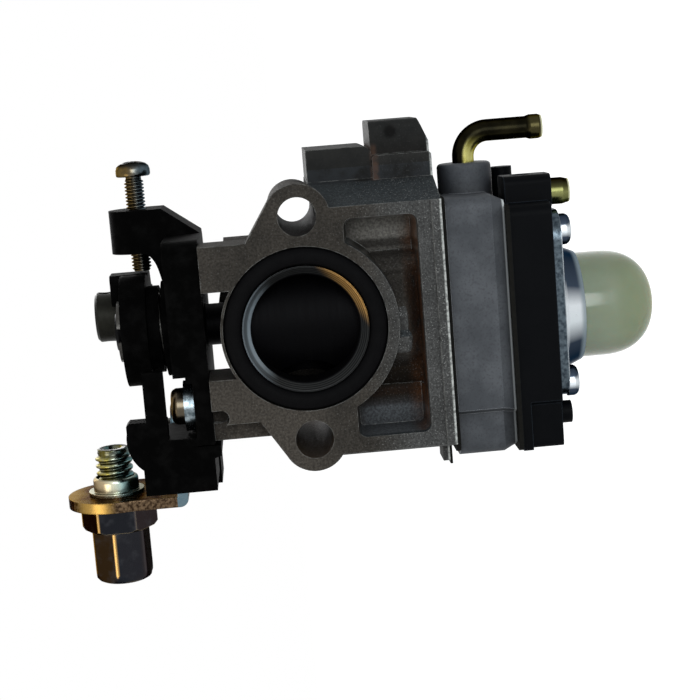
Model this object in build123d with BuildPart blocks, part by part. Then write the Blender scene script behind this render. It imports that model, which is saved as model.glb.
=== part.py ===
from build123d import *
import os
from math import atan2, cos, degrees, hypot, radians, sin

# A 15 mm rotary-barrel diaphragm carburetor for a small two-stroke engine, in millimetres.
# The origin is the throat's centre on the air-cleaner flange face. +Y runs into the carburetor
# along the throat, +Z runs up the throttle barrel to the cable lever, and +X points to the side
# of the idle screw and the fuel inlet. Heights and depths below are on those axes.

# Fits
running_fit = 0.05          # radial clearance of a shaft that turns in its bore
screw_fit = 0.2             # radial clearance of a screw in a plain hole
free_gap = 0.3              # space left between pieces that move past each other
sheet_fit = 0.15            # space around a piece that drops into a recess

# Throat and flange
throat_radius = 7.5
throat_lip_chamfer = 1.1
ring_groove_inner = 8.75
ring_groove_outer = 11.4
ring_groove_depth = 2.2
ring_proud = 0.35           # how far the seal stands out of its groove
ring_rim_wall = 0.35        # thin wall of the groove where the window cuts the rim
bolt_spacing = 31.0
bolt_hole_radius = 2.65
bolt_lobe_radius = 4.5
bolt_sleeve_radius = 3.8    # round the bolt between the two flanges
rim_radius = 13.0
flange_depth = 4.0
front_wall = 3.15           # metal between the barrel's bore and the flange face
pulse_hole_radius = 1.1

# Throttle barrel and its housing
barrel_radius = 10.3
barrel_bottom = -8.9
barrel_top = 8.6
barrel_floor_gap = 0.1
housing_wall = 2.05
housing_bottom = -14.0
cap_thickness = 0.8
cap_lip = 0.9
throttle_open_angle = 76.0  # turn of the barrel from idle to wide open
throttle_lift = 1.0         # rise of the barrel over that turn
shaft_radius = 3.0
shaft_top = 27.0
washer_thickness = 0.5
washer_gap = 0.1            # space above and below the thrust washer at idle
washer_width = 0.9

# Fuel needle and nozzle
needle_radius = 0.9
needle_tip = -3.6
needle_head_radius = 1.4
needle_head_length = 5.0
nozzle_bore = 1.0
nozzle_radius = 1.7
nozzle_top = -1.4
nozzle_root = -12.5
nozzle_flange_radius = 2.6
nozzle_flange_depth = 1.2

# Arms that carry the throttle cover
cover_seat = 13.9
arm_outer = 12.4
arm_inner = 6.1
arm_root = 7.3
arm_depth = 7.5
lower_arm_depth = 4.0
arm_post_radius = 2.1
side_rib_outer = 15.2
side_rib_low = 5.6
side_rib_front = 3.6
side_rib_back = 10.0
notch_radius = 1.15
notch_centre = (-11.5, 12.7)

# Lower half of the casting: the block that the fuel pump bolts to
base_face = -19.8
base_low_side = -19.4
base_high_side = 19.6
base_front_low = -17.9
base_front_high = 16.4
base_slope_low = 6.0
base_slope_high = 9.5
stack_setback = 2.0         # from the engine face to the backs of the pump block and stack
block_top = -2.0
pocket_depth = 5.5
pocket_deep = 8.0           # between the two shallow panels
pocket_deep_high = 8.0
pocket_deep_low = -9.6
pocket_low_side = -15.8
pocket_high_side = 14.7
pocket_outer = -16.4
pocket_inner = -6.2
pocket_corner = 1.2
pocket_draft = 6.0
passage_ribs = ((6.6, 1.3), (-1.6, 1.5), (-8.4, 1.2))     # place along X and radius of each
seam_width = 0.7
seam_step = 0.35

# Bosses behind the upper bolt lobe
tier_height = 24.0
tier_front = 9.0
tier_start = -2.1
tower_height = 27.3
tower_start = -11.4
tower_ledge = 22.6
tower_panel_proud = 0.7     # of the tower's foot in front of the lower boss
tower_slope_rise = 3.3      # slope at the tower's side towards the pump
tower_slope_run = 1.4
tower_setback = 2.0
tower_back_setback = 3.0
plug_radius = 1.0
plug_z = -14.9

# Throttle cover
cover_top = 18.9
cover_front = 1.2
cover_back_setback = 0.6
cover_high_side = 13.2
cover_low_side = -15.2
cover_corner = 3.0
cover_hub_clearance = 0.1
hub_boss_radius = 6.9
hub_boss_top = 20.0
spring_well_radius = 5.6
spring_well_floor = 16.3
screw_shelf = 17.2          # lower top of the cover on the front screw's side
screw_shelf_side = -5.5
screw_pad_depth = 0.9       # of the screws' open seats below that shelf
screw_pad_radius = 3.9
front_screw_x = -10.3
front_screw_drop = 7.3      # in front of the barrel's axis
rear_screw_x = 7.4
rear_screw_rise = 8.9       # behind the barrel's axis
cover_screw_radius = 1.5
cover_head_radius = 2.6
cover_head_height = 1.9
cover_washer_radius = 3.6
cover_washer_thickness = 1.5
cover_thread_depth = 3.2
thread_end_gap = 0.4

# Idle screw and the lug that it runs in
idle_rise = 6.5             # behind the barrel's axis
idle_z = 23.0
idle_lug_radius = 4.1
idle_lug_low = 10.8
idle_lug_high = 17.1
gusset_start = 1.5          # where the lug's gusset leaves the cover's top
gusset_knee = (7.2, 20.1)
gusset_height = 22.2
idle_shank_radius = 1.45
idle_tip_radius = 1.1
idle_tip_length = 1.2
idle_tip = 8.0
idle_head_under = 21.9
idle_head_radius = 2.55
idle_head_height = 2.2

# Block of the cover beside the cable, with its finger in front of the screw's head
block_low = -21.9
block_wall = -14.2          # side of the block towards the front screw
block_front = 1.8
block_rise = 0.8            # how far the block reaches behind the barrel's axis
block_inner = 14.1
block_lip = 13.1            # lower edge of the block beside the casting's arm
block_lip_sides = (-17.3, -15.5)
block_high = 24.1
shoulder_side = -11.4
shoulder_tip = 26.0
shoulder_depth = 3.2
finger_end = -4.5
finger_low = 20.3
finger_high = 23.2
finger_depth = 1.6

# Throttle lever, swivel and return spring
lever_low = 22.1
lever_high = 25.8
lever_hub_radius = 8.0
lever_core_radius = 3.9
lever_core_low = 17.0
lever_skirt_outer = 6.3     # skirt of the hub round the spring's upper end
lever_skirt_inner = 5.6
lever_skirt_low = 20.4
lever_end_radius = 4.4
swivel_x = 1.05
swivel_rise = 10.5          # behind the barrel's axis; the cable runs here
swivel_radius = 3.75
swivel_height = 4.8
swivel_stem_radius = 2.0
swivel_slot = 1.8
cable_bore_radius = 1.1
tab_reach = 7.75
tab_low_side = 3.2
tab_front_rise = 3.5
tab_back_rise = 9.1
tab_high = 27.7
spring_wire = 0.9
spring_radius = 4.8
spring_top = 21.8
ring_thickness = 0.8

# Cable bracket and adjuster
cable_z = 30.4
bracket_face = -26.0
bracket_thickness = 1.6
bracket_end_radius = 7.4
bracket_foot = 19.2
bracket_foot_end = -12.6
bracket_rise = 3.5          # from the barrel's axis to the bracket's front edge
foot_seat_low = -24.4
bracket_screw_x = -17.6
bracket_screw_rise = 9.1
collar_radius = 3.45
collar_flare = 4.2
collar_height = 2.6
adjuster_radius = 2.9
adjuster_bore = 1.35
adjuster_top = -19.0
nut_flats = 10.0
nut_height = 3.9
cap_flats = 8.0
cap_length = 8.2
cap_rounding = 0.9
hex_turn = 17.0             # of the cap's corners from straight forward
hex_corner = 0.45           # turned chamfer of a hexagon's corners

# Fuel pump block and the sheets of the stack
gasket_thickness = 0.35
diaphragm_thickness = 0.25
pump_low_side = -20.3
pump_high_side = 16.3
pump_front = 1.0
pump_height = 8.3
pump_step = -13.6
pump_step_back = 1.2
pump_corner = 1.8
pump_chamfer = 1.9
sheet_tab_length = 3.3
sheet_tab_width = 5.0
sheet_lug_height = 1.0
inlet_drop = 2.5            # in front of the barrel's axis
inlet_boss_radius = 3.85
inlet_boss_top = 20.5
pump_pad_rise = 7.0         # low pad on the pump block's side, behind the inlet
pump_pad_width = 4.0
pump_pad_height = 3.2
pump_pad_reach = 3.2
tube_radius = 1.55
tube_bore = 0.9
tube_bend = 3.6
tube_rise = 24.8
tube_end = -36.0
barb_radius = 1.75
barb_length = 2.3
screen_thickness = 0.3

# Metering chamber
stack_x = -1.7
chamber_radius = 9.2
chamber_depth = 3.6
lever_pin_radius = 0.6
lever_pin_drop = 1.6
lever_pin_length = 7.0
lever_arm = 4.2             # from the pin to the button at the diaphragm's centre
fork_arm = 2.6              # from the pin to the inlet valve
lever_width = 2.4
lever_thickness = 0.7
lever_play = 0.12           # gap at each end of the metering lever at rest
valve_radius = 1.15
valve_length = 3.6
valve_cone = 1.3
button_radius = 2.6
button_height = 0.4
button_pin_radius = 0.5
metering_spring_radius = 0.9
metering_spring_wire = 0.3
metering_spring_arm = 2.3   # from the pin to the spring on the long arm

# Purge body, primer bulb and retaining plate
purge_height = 5.9
purge_high_side = 14.6
purge_low_side = -20.1
purge_ledge = -13.3
purge_lug_x = -15.6
purge_lug_setback = 3.2
purge_lug_radius = 1.6
purge_front = 1.4
purge_boss_top = 18.3
purge_boss_drop = 5.5       # in front of the barrel's axis
purge_boss_radius = 3.2
purge_boss_step = 0.7       # below the purge body's underside
purge_boss_start = 13.5
purge_port_radius = 1.5
purge_ear_rise = 3.5        # second boss behind the barrel's axis
purge_ear_radius = 1.5
purge_ear_top = 19.2
nipple_x = 15.6
nipple_radius = 1.9
nipple_tip_radius = 1.65
nipple_length = 2.9
nipple_bore = 0.9
plate_thickness = 1.3
plate_high_side = 13.2
plate_low_side = -13.3
plate_front = 1.9
plate_corner = 4.0
cone_foot_radius = 9.4
cone_top_radius = 8.0
cone_height = 3.5
bulb_radius = 7.7
bulb_wall = 0.9
bulb_foot_radius = 8.3
bulb_foot_height = 1.5
bulb_tip = -51.1
bulb_press = 5.0
stack_screw_high = 10.4
stack_screw_low = -11.2
stack_screw_front_inset = 3.1   # from the retaining plate's front and back edges
stack_screw_back_inset = 3.0
stack_screw_radius = 1.5
stack_thread_depth = 3.0
stack_head_radius = 2.2
stack_head_height = 1.6
valve_disc_radius = 3.0
valve_stem_length = 2.6
valve_stem_radius = 1.2
valve_seat_depth = 1.6
flap_side = 5.0
flap_rise = 6.0
flap_radius = 2.0
flap_cut = 0.4
drive_recess_depth = 0.9
drive_recess_width = 0.7

# Places worked out from the sizes above
bore_radius = barrel_radius + running_fit
axis_y = front_wall + bore_radius
body_depth = 2 * axis_y
bolt_x = bolt_spacing / 2
base_back = body_depth - stack_setback
tower_back = body_depth - tower_back_setback
cover_back = body_depth - cover_back_setback
housing_radius = bore_radius + housing_wall
bore_floor = barrel_bottom - barrel_floor_gap
cap_low = barrel_top + throttle_lift + barrel_floor_gap
cap_high = cap_low + cap_thickness
cap_radius = bore_radius + cap_lip
front_screw_place = (front_screw_x, axis_y - front_screw_drop)
rear_screw_place = (rear_screw_x, axis_y + rear_screw_rise)
cover_screws_xy = [front_screw_place, rear_screw_place]
screw_pad = screw_shelf - screw_pad_depth
idle_y = axis_y + idle_rise
block_back = axis_y + block_rise
swivel_place = (swivel_x, axis_y + swivel_rise)
cable_y = axis_y + swivel_rise
bracket_front = axis_y + bracket_rise
bracket_screw_place = (bracket_screw_x, axis_y + bracket_screw_rise)
stack_screws_xy = [
    (x, y)
    for x in (stack_screw_low, stack_screw_high)
    for y in (plate_front + stack_screw_front_inset, base_back - stack_screw_back_inset)
]
pump_top = base_face - gasket_thickness - diaphragm_thickness
pump_bottom = pump_top - pump_height
metering_top = pump_bottom - gasket_thickness
purge_top = metering_top - diaphragm_thickness
purge_bottom = purge_top - purge_height
plate_bottom = purge_bottom - plate_thickness
purge_boss_end = purge_bottom - purge_boss_step
purge_boss_y = axis_y - purge_boss_drop
inlet_y = axis_y - inlet_drop
inlet_z = (pump_top + pump_bottom) / 2
bracket_low = bracket_face - bracket_thickness
nut_low = bracket_low - nut_height
cap_end = nut_low - cap_length
chamber_ceiling = pump_bottom + chamber_depth
pin_y = axis_y + lever_arm
pin_z = chamber_ceiling - lever_pin_drop
valve_y = pin_y + fork_arm
hex_centre = (cable_y, cable_z)
cable_axis = Axis((0, cable_y, cable_z), (1, 0, 0))


def front_plane(depth):
    """The plane parallel to the flange face at this depth, drawn in X and Z."""
    return Plane.XZ.offset(-depth)


def crossed_slots(plane, size):
    """The crossed slots of a screw's head, drawn on the head's face."""
    with BuildSketch(plane) as slots:
        Rectangle(size, drive_recess_width)
        Rectangle(drive_recess_width, size)
    return slots.sketch


def sheet_outline(height, low_side, high_side):
    """Outline of a gasket or diaphragm of the stack, holed for the four long screws."""
    with BuildSketch(Plane.XY.offset(height)) as outline:
        with Locations(((low_side + high_side) / 2, (pump_front + base_back) / 2)):
            RectangleRounded(high_side - low_side, base_back - pump_front, 1.2)
        with Locations(stack_screws_xy):
            Circle(stack_screw_radius + screw_fit, mode=Mode.SUBTRACT)
    return outline.sketch


def turned_envelope(start, end, start_corner, end_corner, flats):
    """Half section of a turned bar whose chamfers take off the corners of a hexagon round the cable."""
    corner_radius = flats / 2 / cos(radians(30))
    with BuildSketch(front_plane(cable_y)) as envelope:
        with BuildLine():
            Polyline(
                (start, cable_z),
                (start, cable_z + corner_radius - start_corner),
                (start + start_corner, cable_z + corner_radius),
                (end - 0.6 * end_corner, cable_z + corner_radius),
                (end, cable_z + corner_radius - end_corner),
                (end, cable_z),
                close=True,
            )
        make_face()
    return envelope.sketch


def finish(built, name):
    """Label a finished piece and write it as its own STEP file."""
    built.part.label = name
    export_step(built.part, f"parts/{name}.step")


os.makedirs("parts", exist_ok=True)

# Die-cast body: flange, barrel housing, pump block, bolt lobes and the arms under the cover.
with BuildPart() as carburetor_body:
    # pump block, its upper and lower sides sloping back from the flange face
    with BuildSketch(Plane.XY.offset(base_face)):
        with BuildLine():
            Polyline(
                (base_front_low, 0),
                (base_front_high, 0),
                (base_high_side, base_slope_high),
                (base_high_side, base_back),
                (base_low_side, base_back),
                (base_low_side, base_slope_low),
                close=True,
            )
        make_face()
    extrude(amount=block_top - base_face)
    pump_block_edges = carburetor_body.edges().filter_by(Axis.Z).sort_by(Axis.Y)
    fillet(pump_block_edges[2:], radius=1.0)
    # cored pocket between the throat's rim and the frame round the pump face
    with BuildSketch(front_plane(0)):
        with BuildLine():
            Polyline(
                (pocket_low_side, pocket_outer),
                (pocket_high_side, pocket_outer),
                (pocket_high_side, pocket_inner),
                (pocket_low_side, pocket_inner),
                close=True,
            )
        make_face()
        fillet(vertices(), radius=pocket_corner)
        Circle(rim_radius, mode=Mode.SUBTRACT)
    extrude(amount=-pocket_depth, taper=pocket_draft, mode=Mode.SUBTRACT)
    with BuildSketch(front_plane(0)):
        with Locations(((pocket_deep_high + pocket_deep_low) / 2, (pocket_outer - housing_radius) / 2)):
            Rectangle(pocket_deep_high - pocket_deep_low, -housing_radius - pocket_outer - 0.6)
    extrude(amount=-pocket_deep, mode=Mode.SUBTRACT)
    # ribs over the drilled fuel passages, across the deep part of the pocket
    for rib_x, rib_radius in passage_ribs:
        with BuildSketch(Plane.XY.offset(pocket_outer - 0.6)):
            with Locations((rib_x, pocket_depth + 0.4)):
                Circle(rib_radius)
            with Locations((rib_x, (pocket_depth + 0.4 + pocket_deep) / 2)):
                Rectangle(2 * rib_radius, pocket_deep - pocket_depth - 0.4)
        extrude(amount=pocket_inner - pocket_outer)
    # bosses of the fuel and pulse passages behind the upper lobe
    with BuildSketch(front_plane(tier_front)):
        with BuildLine():
            Polyline(
                (0, tower_start),
                (0, tier_start),
                (tier_height, tier_start),
                (tier_height, tower_start),
                close=True,
            )
        make_face()
        tier_corner = vertices().group_by(Axis.X)[-1].sort_by(Axis.Z)[-1]
        fillet(tier_corner, radius=1.3)
    extrude(amount=tier_front - base_back)
    tower_front = tier_front + tower_setback
    with BuildSketch(Plane.XY.offset(base_face)):
        with Locations((tower_height / 2, (tower_front + tower_back) / 2)):
            RectangleRounded(tower_height, tower_back - tower_front, 1.3)
    extrude(amount=tower_start - base_face)
    with BuildSketch(front_plane(tower_front)):
        with BuildLine():
            Polyline(
                (tower_height, base_face),
                (tower_height, base_face + tower_slope_run),
                (tower_height - tower_slope_rise, base_face),
                close=True,
            )
        make_face()
    extrude(amount=tower_front - tower_back, mode=Mode.SUBTRACT)
    with BuildSketch(front_plane(tier_front - tower_panel_proud)):
        with BuildLine():
            Polyline(
                (0, tower_start),
                (tower_ledge, tower_start),
                (tower_ledge, base_face),
                (0, base_face),
                close=True,
            )
        make_face()
        fillet(vertices().group_by(Axis.X)[-1], radius=0.5)
    extrude(amount=tier_front - tower_panel_proud - tower_back)
    # engine-side flange between its bolt lobes
    with BuildSketch(front_plane(body_depth - flange_depth)):
        Circle(housing_radius)
        Rectangle(bolt_spacing, 1.6 * bolt_sleeve_radius)
    extrude(amount=-flange_depth)
    # bolt sleeves over the whole depth, and the lobes of the front flange
    with BuildSketch(front_plane(0)):
        with Locations((-bolt_x, 0), (bolt_x, 0)):
            Circle(bolt_sleeve_radius)
    extrude(amount=-body_depth)
    with BuildSketch(front_plane(0)):
        with Locations((-bolt_x, 0), (bolt_x, 0)):
            Circle(bolt_lobe_radius)
    extrude(amount=-flange_depth)
    # front flange: rim, webs to the lobes, and the two arms
    with BuildSketch(front_plane(0)):
        Circle(rim_radius)
        for side in (-1, 1):
            with BuildLine():
                Polyline(
                    (side * arm_inner, cover_seat),
                    (side * arm_outer, cover_seat),
                    (side * arm_outer, arm_root),
                    (side * (bolt_x + 0.55 * bolt_lobe_radius), 0.83 * bolt_lobe_radius),
                    (side * bolt_x, -bolt_lobe_radius),
                    (side * 0.5 * bolt_x, -bolt_lobe_radius),
                    (side * 0.5 * bolt_x, arm_root),
                    (side * arm_inner, ring_groove_outer * 0.8),
                    close=True,
                )
            make_face()
    extrude(amount=-flange_depth)
    # barrel housing and the throat's bosses in front of and behind it
    with BuildSketch(Plane.XY.offset(housing_bottom)):
        with Locations((0, axis_y)):
            Circle(housing_radius)
    extrude(amount=cap_high - housing_bottom)
    with BuildSketch(front_plane(flange_depth - 1)):
        Circle(housing_radius)
        with Locations((0, housing_radius + cap_high)):
            Rectangle(3 * housing_radius, 2 * housing_radius, mode=Mode.SUBTRACT)
    extrude(amount=2 * (flange_depth - 1) - body_depth)
    # deep side of the upper arm, and the post of the cover's rear screw
    with BuildSketch(front_plane(0)):
        with Locations(((arm_inner + arm_outer) / 2, (arm_root + cover_seat) / 2)):
            Rectangle(arm_outer - arm_inner, cover_seat - arm_root)
    extrude(amount=-arm_depth)
    for post_xy in cover_screws_xy:
        with BuildSketch(Plane.XY.offset(arm_root - 2)):
            with Locations(post_xy):
                Circle(arm_post_radius)
        extrude(amount=cover_seat - arm_root + 2)
    # rib under the lower arm
    with BuildSketch(front_plane(side_rib_front)):
        with Locations((-(side_rib_outer + arm_inner) / 2, (side_rib_low + cover_seat) / 2)):
            Rectangle(side_rib_outer - arm_inner, cover_seat - side_rib_low)
    extrude(amount=side_rib_front - side_rib_back)
    # window between the arms, cut up to the seal's groove
    with BuildSketch(front_plane(0)):
        with Locations((0, (cover_seat + ring_groove_inner) / 2)):
            Rectangle(2 * arm_inner, cover_seat - ring_groove_inner + 1)
        fillet(vertices(), radius=0.9)
        Circle(ring_groove_outer + ring_rim_wall, mode=Mode.SUBTRACT)
    extrude(amount=-(axis_y - housing_radius * 0.5), mode=Mode.SUBTRACT)
    # notch at the end of the lower arm
    with BuildSketch(front_plane(0)):
        with Locations(notch_centre):
            Circle(notch_radius)
            with Locations((0, notch_radius)):
                Rectangle(2 * notch_radius, 2 * notch_radius)
    extrude(amount=-lower_arm_depth, mode=Mode.SUBTRACT)
    # lug over the tabs of the sheets
    with BuildSketch(Plane.XY.offset(base_face)):
        with Locations((base_low_side - sheet_tab_length / 2, axis_y)):
            Rectangle(sheet_tab_length, sheet_tab_width)
    extrude(amount=sheet_lug_height)
    # raised bead along the edge of the pump face
    with BuildSketch(Plane.XY.offset(base_face)):
        with Locations(((base_front_low + base_front_high) / 2, -seam_step / 2)):
            Rectangle(base_front_high - base_front_low, seam_step)
    extrude(amount=2 * seam_width)
    # barrel bore, cap recess, throat and seal groove
    with Locations((0, axis_y, 0)):
        with Locations((0, 0, (bore_floor + cap_low) / 2)):
            Cylinder(bore_radius, cap_low - bore_floor, mode=Mode.SUBTRACT)
        with Locations((0, 0, (cap_low + cap_high) / 2)):
            Cylinder(cap_radius + sheet_fit, cap_thickness, mode=Mode.SUBTRACT)
    with BuildSketch(front_plane(0)):
        Circle(throat_radius)
    extrude(amount=-body_depth, mode=Mode.SUBTRACT)
    with BuildSketch(front_plane(0)):
        Circle(ring_groove_outer)
        Circle(ring_groove_inner, mode=Mode.SUBTRACT)
    extrude(amount=-ring_groove_depth, mode=Mode.SUBTRACT)
    with BuildSketch(front_plane(0)):
        Circle(throat_radius + throat_lip_chamfer)
    extrude(amount=-throat_lip_chamfer, taper=45, mode=Mode.SUBTRACT)
    # bolt holes, screw holes, nozzle seat, pulse hole and passage plug
    with BuildSketch(front_plane(0)):
        with Locations((-bolt_x, 0), (bolt_x, 0)):
            Circle(bolt_hole_radius)
    extrude(amount=-body_depth, mode=Mode.SUBTRACT)
    with BuildSketch(Plane.XY.offset(cover_seat)):
        with Locations(cover_screws_xy):
            Circle(cover_screw_radius)
    extrude(amount=-cover_thread_depth, mode=Mode.SUBTRACT)
    with BuildSketch(Plane.XY.offset(base_face)):
        with Locations(stack_screws_xy):
            Circle(stack_screw_radius)
    extrude(amount=stack_thread_depth, mode=Mode.SUBTRACT)
    with BuildSketch(Plane.XY.offset(nozzle_root)):
        with Locations((0, axis_y)):
            Circle(nozzle_radius)
    extrude(amount=bore_floor - nozzle_root, mode=Mode.SUBTRACT)
    with BuildSketch(Plane.XY.offset(base_face)):
        with Locations((0, axis_y)):
            Circle(nozzle_bore)
    extrude(amount=nozzle_root - base_face, mode=Mode.SUBTRACT)
    with BuildSketch(front_plane(body_depth)):
        with Locations((bolt_x * 0.66, -bolt_lobe_radius * 1.5)):
            Circle(pulse_hole_radius)
    extrude(amount=flange_depth, mode=Mode.SUBTRACT)
    with BuildSketch(Plane.YZ.offset(tower_height)):
        with Locations((axis_y, plug_z)):
            Circle(plug_radius)
    extrude(amount=-2 * plug_radius, mode=Mode.SUBTRACT)
finish(carburetor_body, "carburetor_body")

# Ball that closes the drilled end of the passage.
with BuildPart() as passage_plug:
    with BuildSketch(Plane.YZ.offset(tower_height - 2 * plug_radius)):
        with Locations((axis_y, plug_z)):
            Circle(plug_radius)
    extrude(amount=1.5 * plug_radius)
    fillet(passage_plug.faces().sort_by(Axis.X)[-1].edges(), radius=0.6 * plug_radius)
finish(passage_plug, "passage_plug")

# Rubber ring that seals the flange against the air cleaner.
with BuildPart() as flange_seal:
    ring_width = ring_groove_outer - ring_groove_inner - sheet_fit
    ring_height = ring_groove_depth + ring_proud
    with BuildSketch(Plane.XY):
        with Locations(((ring_groove_inner + ring_groove_outer) / 2, ring_groove_depth - ring_height / 2)):
            RectangleRounded(ring_width, ring_height, 0.45 * ring_width)
    revolve(axis=Axis.Y)
finish(flange_seal, "flange_seal")

# Disc that closes the barrel's housing round the shaft.
with BuildPart() as barrel_cap:
    with BuildSketch(Plane.XY.offset(cap_low)):
        with Locations((0, axis_y)):
            Circle(cap_radius)
            Circle(shaft_radius + running_fit, mode=Mode.SUBTRACT)
    extrude(amount=cap_thickness)
finish(barrel_cap, "barrel_cap")

# Throttle barrel with its cross bore at idle, turned from one piece with its shaft.
with BuildPart() as throttle_barrel:
    with BuildSketch(Plane.XY.offset(barrel_bottom)):
        with Locations((0, axis_y)):
            Circle(barrel_radius)
    extrude(amount=barrel_top - barrel_bottom)
    with BuildSketch(Plane.XY.offset(barrel_top)):
        with Locations((0, axis_y)):
            Circle(shaft_radius)
    extrude(amount=shaft_top - barrel_top)
    chamfer(throttle_barrel.faces().sort_by(Axis.Z)[-1].edges(), length=0.4)
    cross_bore = Plane(
        origin=(0, axis_y, 0),
        x_dir=(cos(radians(throttle_open_angle)), -sin(radians(throttle_open_angle)), 0),
        z_dir=(sin(radians(throttle_open_angle)), cos(radians(throttle_open_angle)), 0),
    )
    with BuildSketch(cross_bore):
        Circle(throat_radius)
    extrude(amount=2 * barrel_radius, both=True, mode=Mode.SUBTRACT)
    with BuildSketch(Plane.XY.offset(barrel_bottom)):
        with Locations((0, axis_y)):
            Circle(nozzle_radius + free_gap)
    extrude(amount=-barrel_bottom, mode=Mode.SUBTRACT)
    with BuildSketch(Plane.XY):
        with Locations((0, axis_y)):
            Circle(needle_head_radius + running_fit)
    extrude(amount=shaft_top, mode=Mode.SUBTRACT)
finish(throttle_barrel, "throttle_barrel")

# Thrust washer under the lever's hub; it rises with the barrel and doesn't turn.
with BuildPart() as thrust_washer:
    with BuildSketch(Plane.XY.offset(lever_core_low - washer_gap - washer_thickness)):
        with Locations((0, axis_y)):
            Circle(shaft_radius + washer_width)
            Circle(shaft_radius + running_fit, mode=Mode.SUBTRACT)
    extrude(amount=washer_thickness)
finish(thrust_washer, "thrust_washer")

# Brass nozzle pressed into the floor of the barrel's bore.
with BuildPart() as fuel_nozzle:
    with BuildSketch(Plane.XY.offset(nozzle_root)):
        with Locations((0, axis_y)):
            Circle(nozzle_radius)
    extrude(amount=nozzle_top - nozzle_root)
    chamfer(fuel_nozzle.faces().sort_by(Axis.Z)[-1].edges(), length=0.3)
    with BuildSketch(Plane.XY.offset(nozzle_root)):
        with Locations((0, axis_y)):
            Circle(nozzle_bore)
    extrude(amount=nozzle_top - nozzle_root, mode=Mode.SUBTRACT)
finish(fuel_nozzle, "fuel_nozzle")

# Metering needle that hangs from the shaft into the nozzle, with its slotted head.
with BuildPart() as fuel_needle:
    needle_top = shaft_top - 1.2
    with BuildSketch(Plane.XZ.offset(-axis_y)):
        with BuildLine():
            Polyline(
                (0, needle_tip),
                (0.35 * needle_radius, needle_tip),
                (needle_radius, nozzle_top + 2),
                (needle_radius, needle_top - needle_head_length),
                (needle_head_radius, needle_top - needle_head_length + 0.5),
                (needle_head_radius, needle_top),
                (0, needle_top),
                close=True,
            )
        make_face()
    revolve(axis=Axis((0, axis_y, 0), (0, 0, 1)))
    with BuildSketch(Plane.XY.offset(needle_top)):
        with Locations((0, axis_y)):
            Rectangle(3 * needle_head_radius, 0.5)
    extrude(amount=-0.7, mode=Mode.SUBTRACT)
finish(fuel_needle, "fuel_needle")

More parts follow.
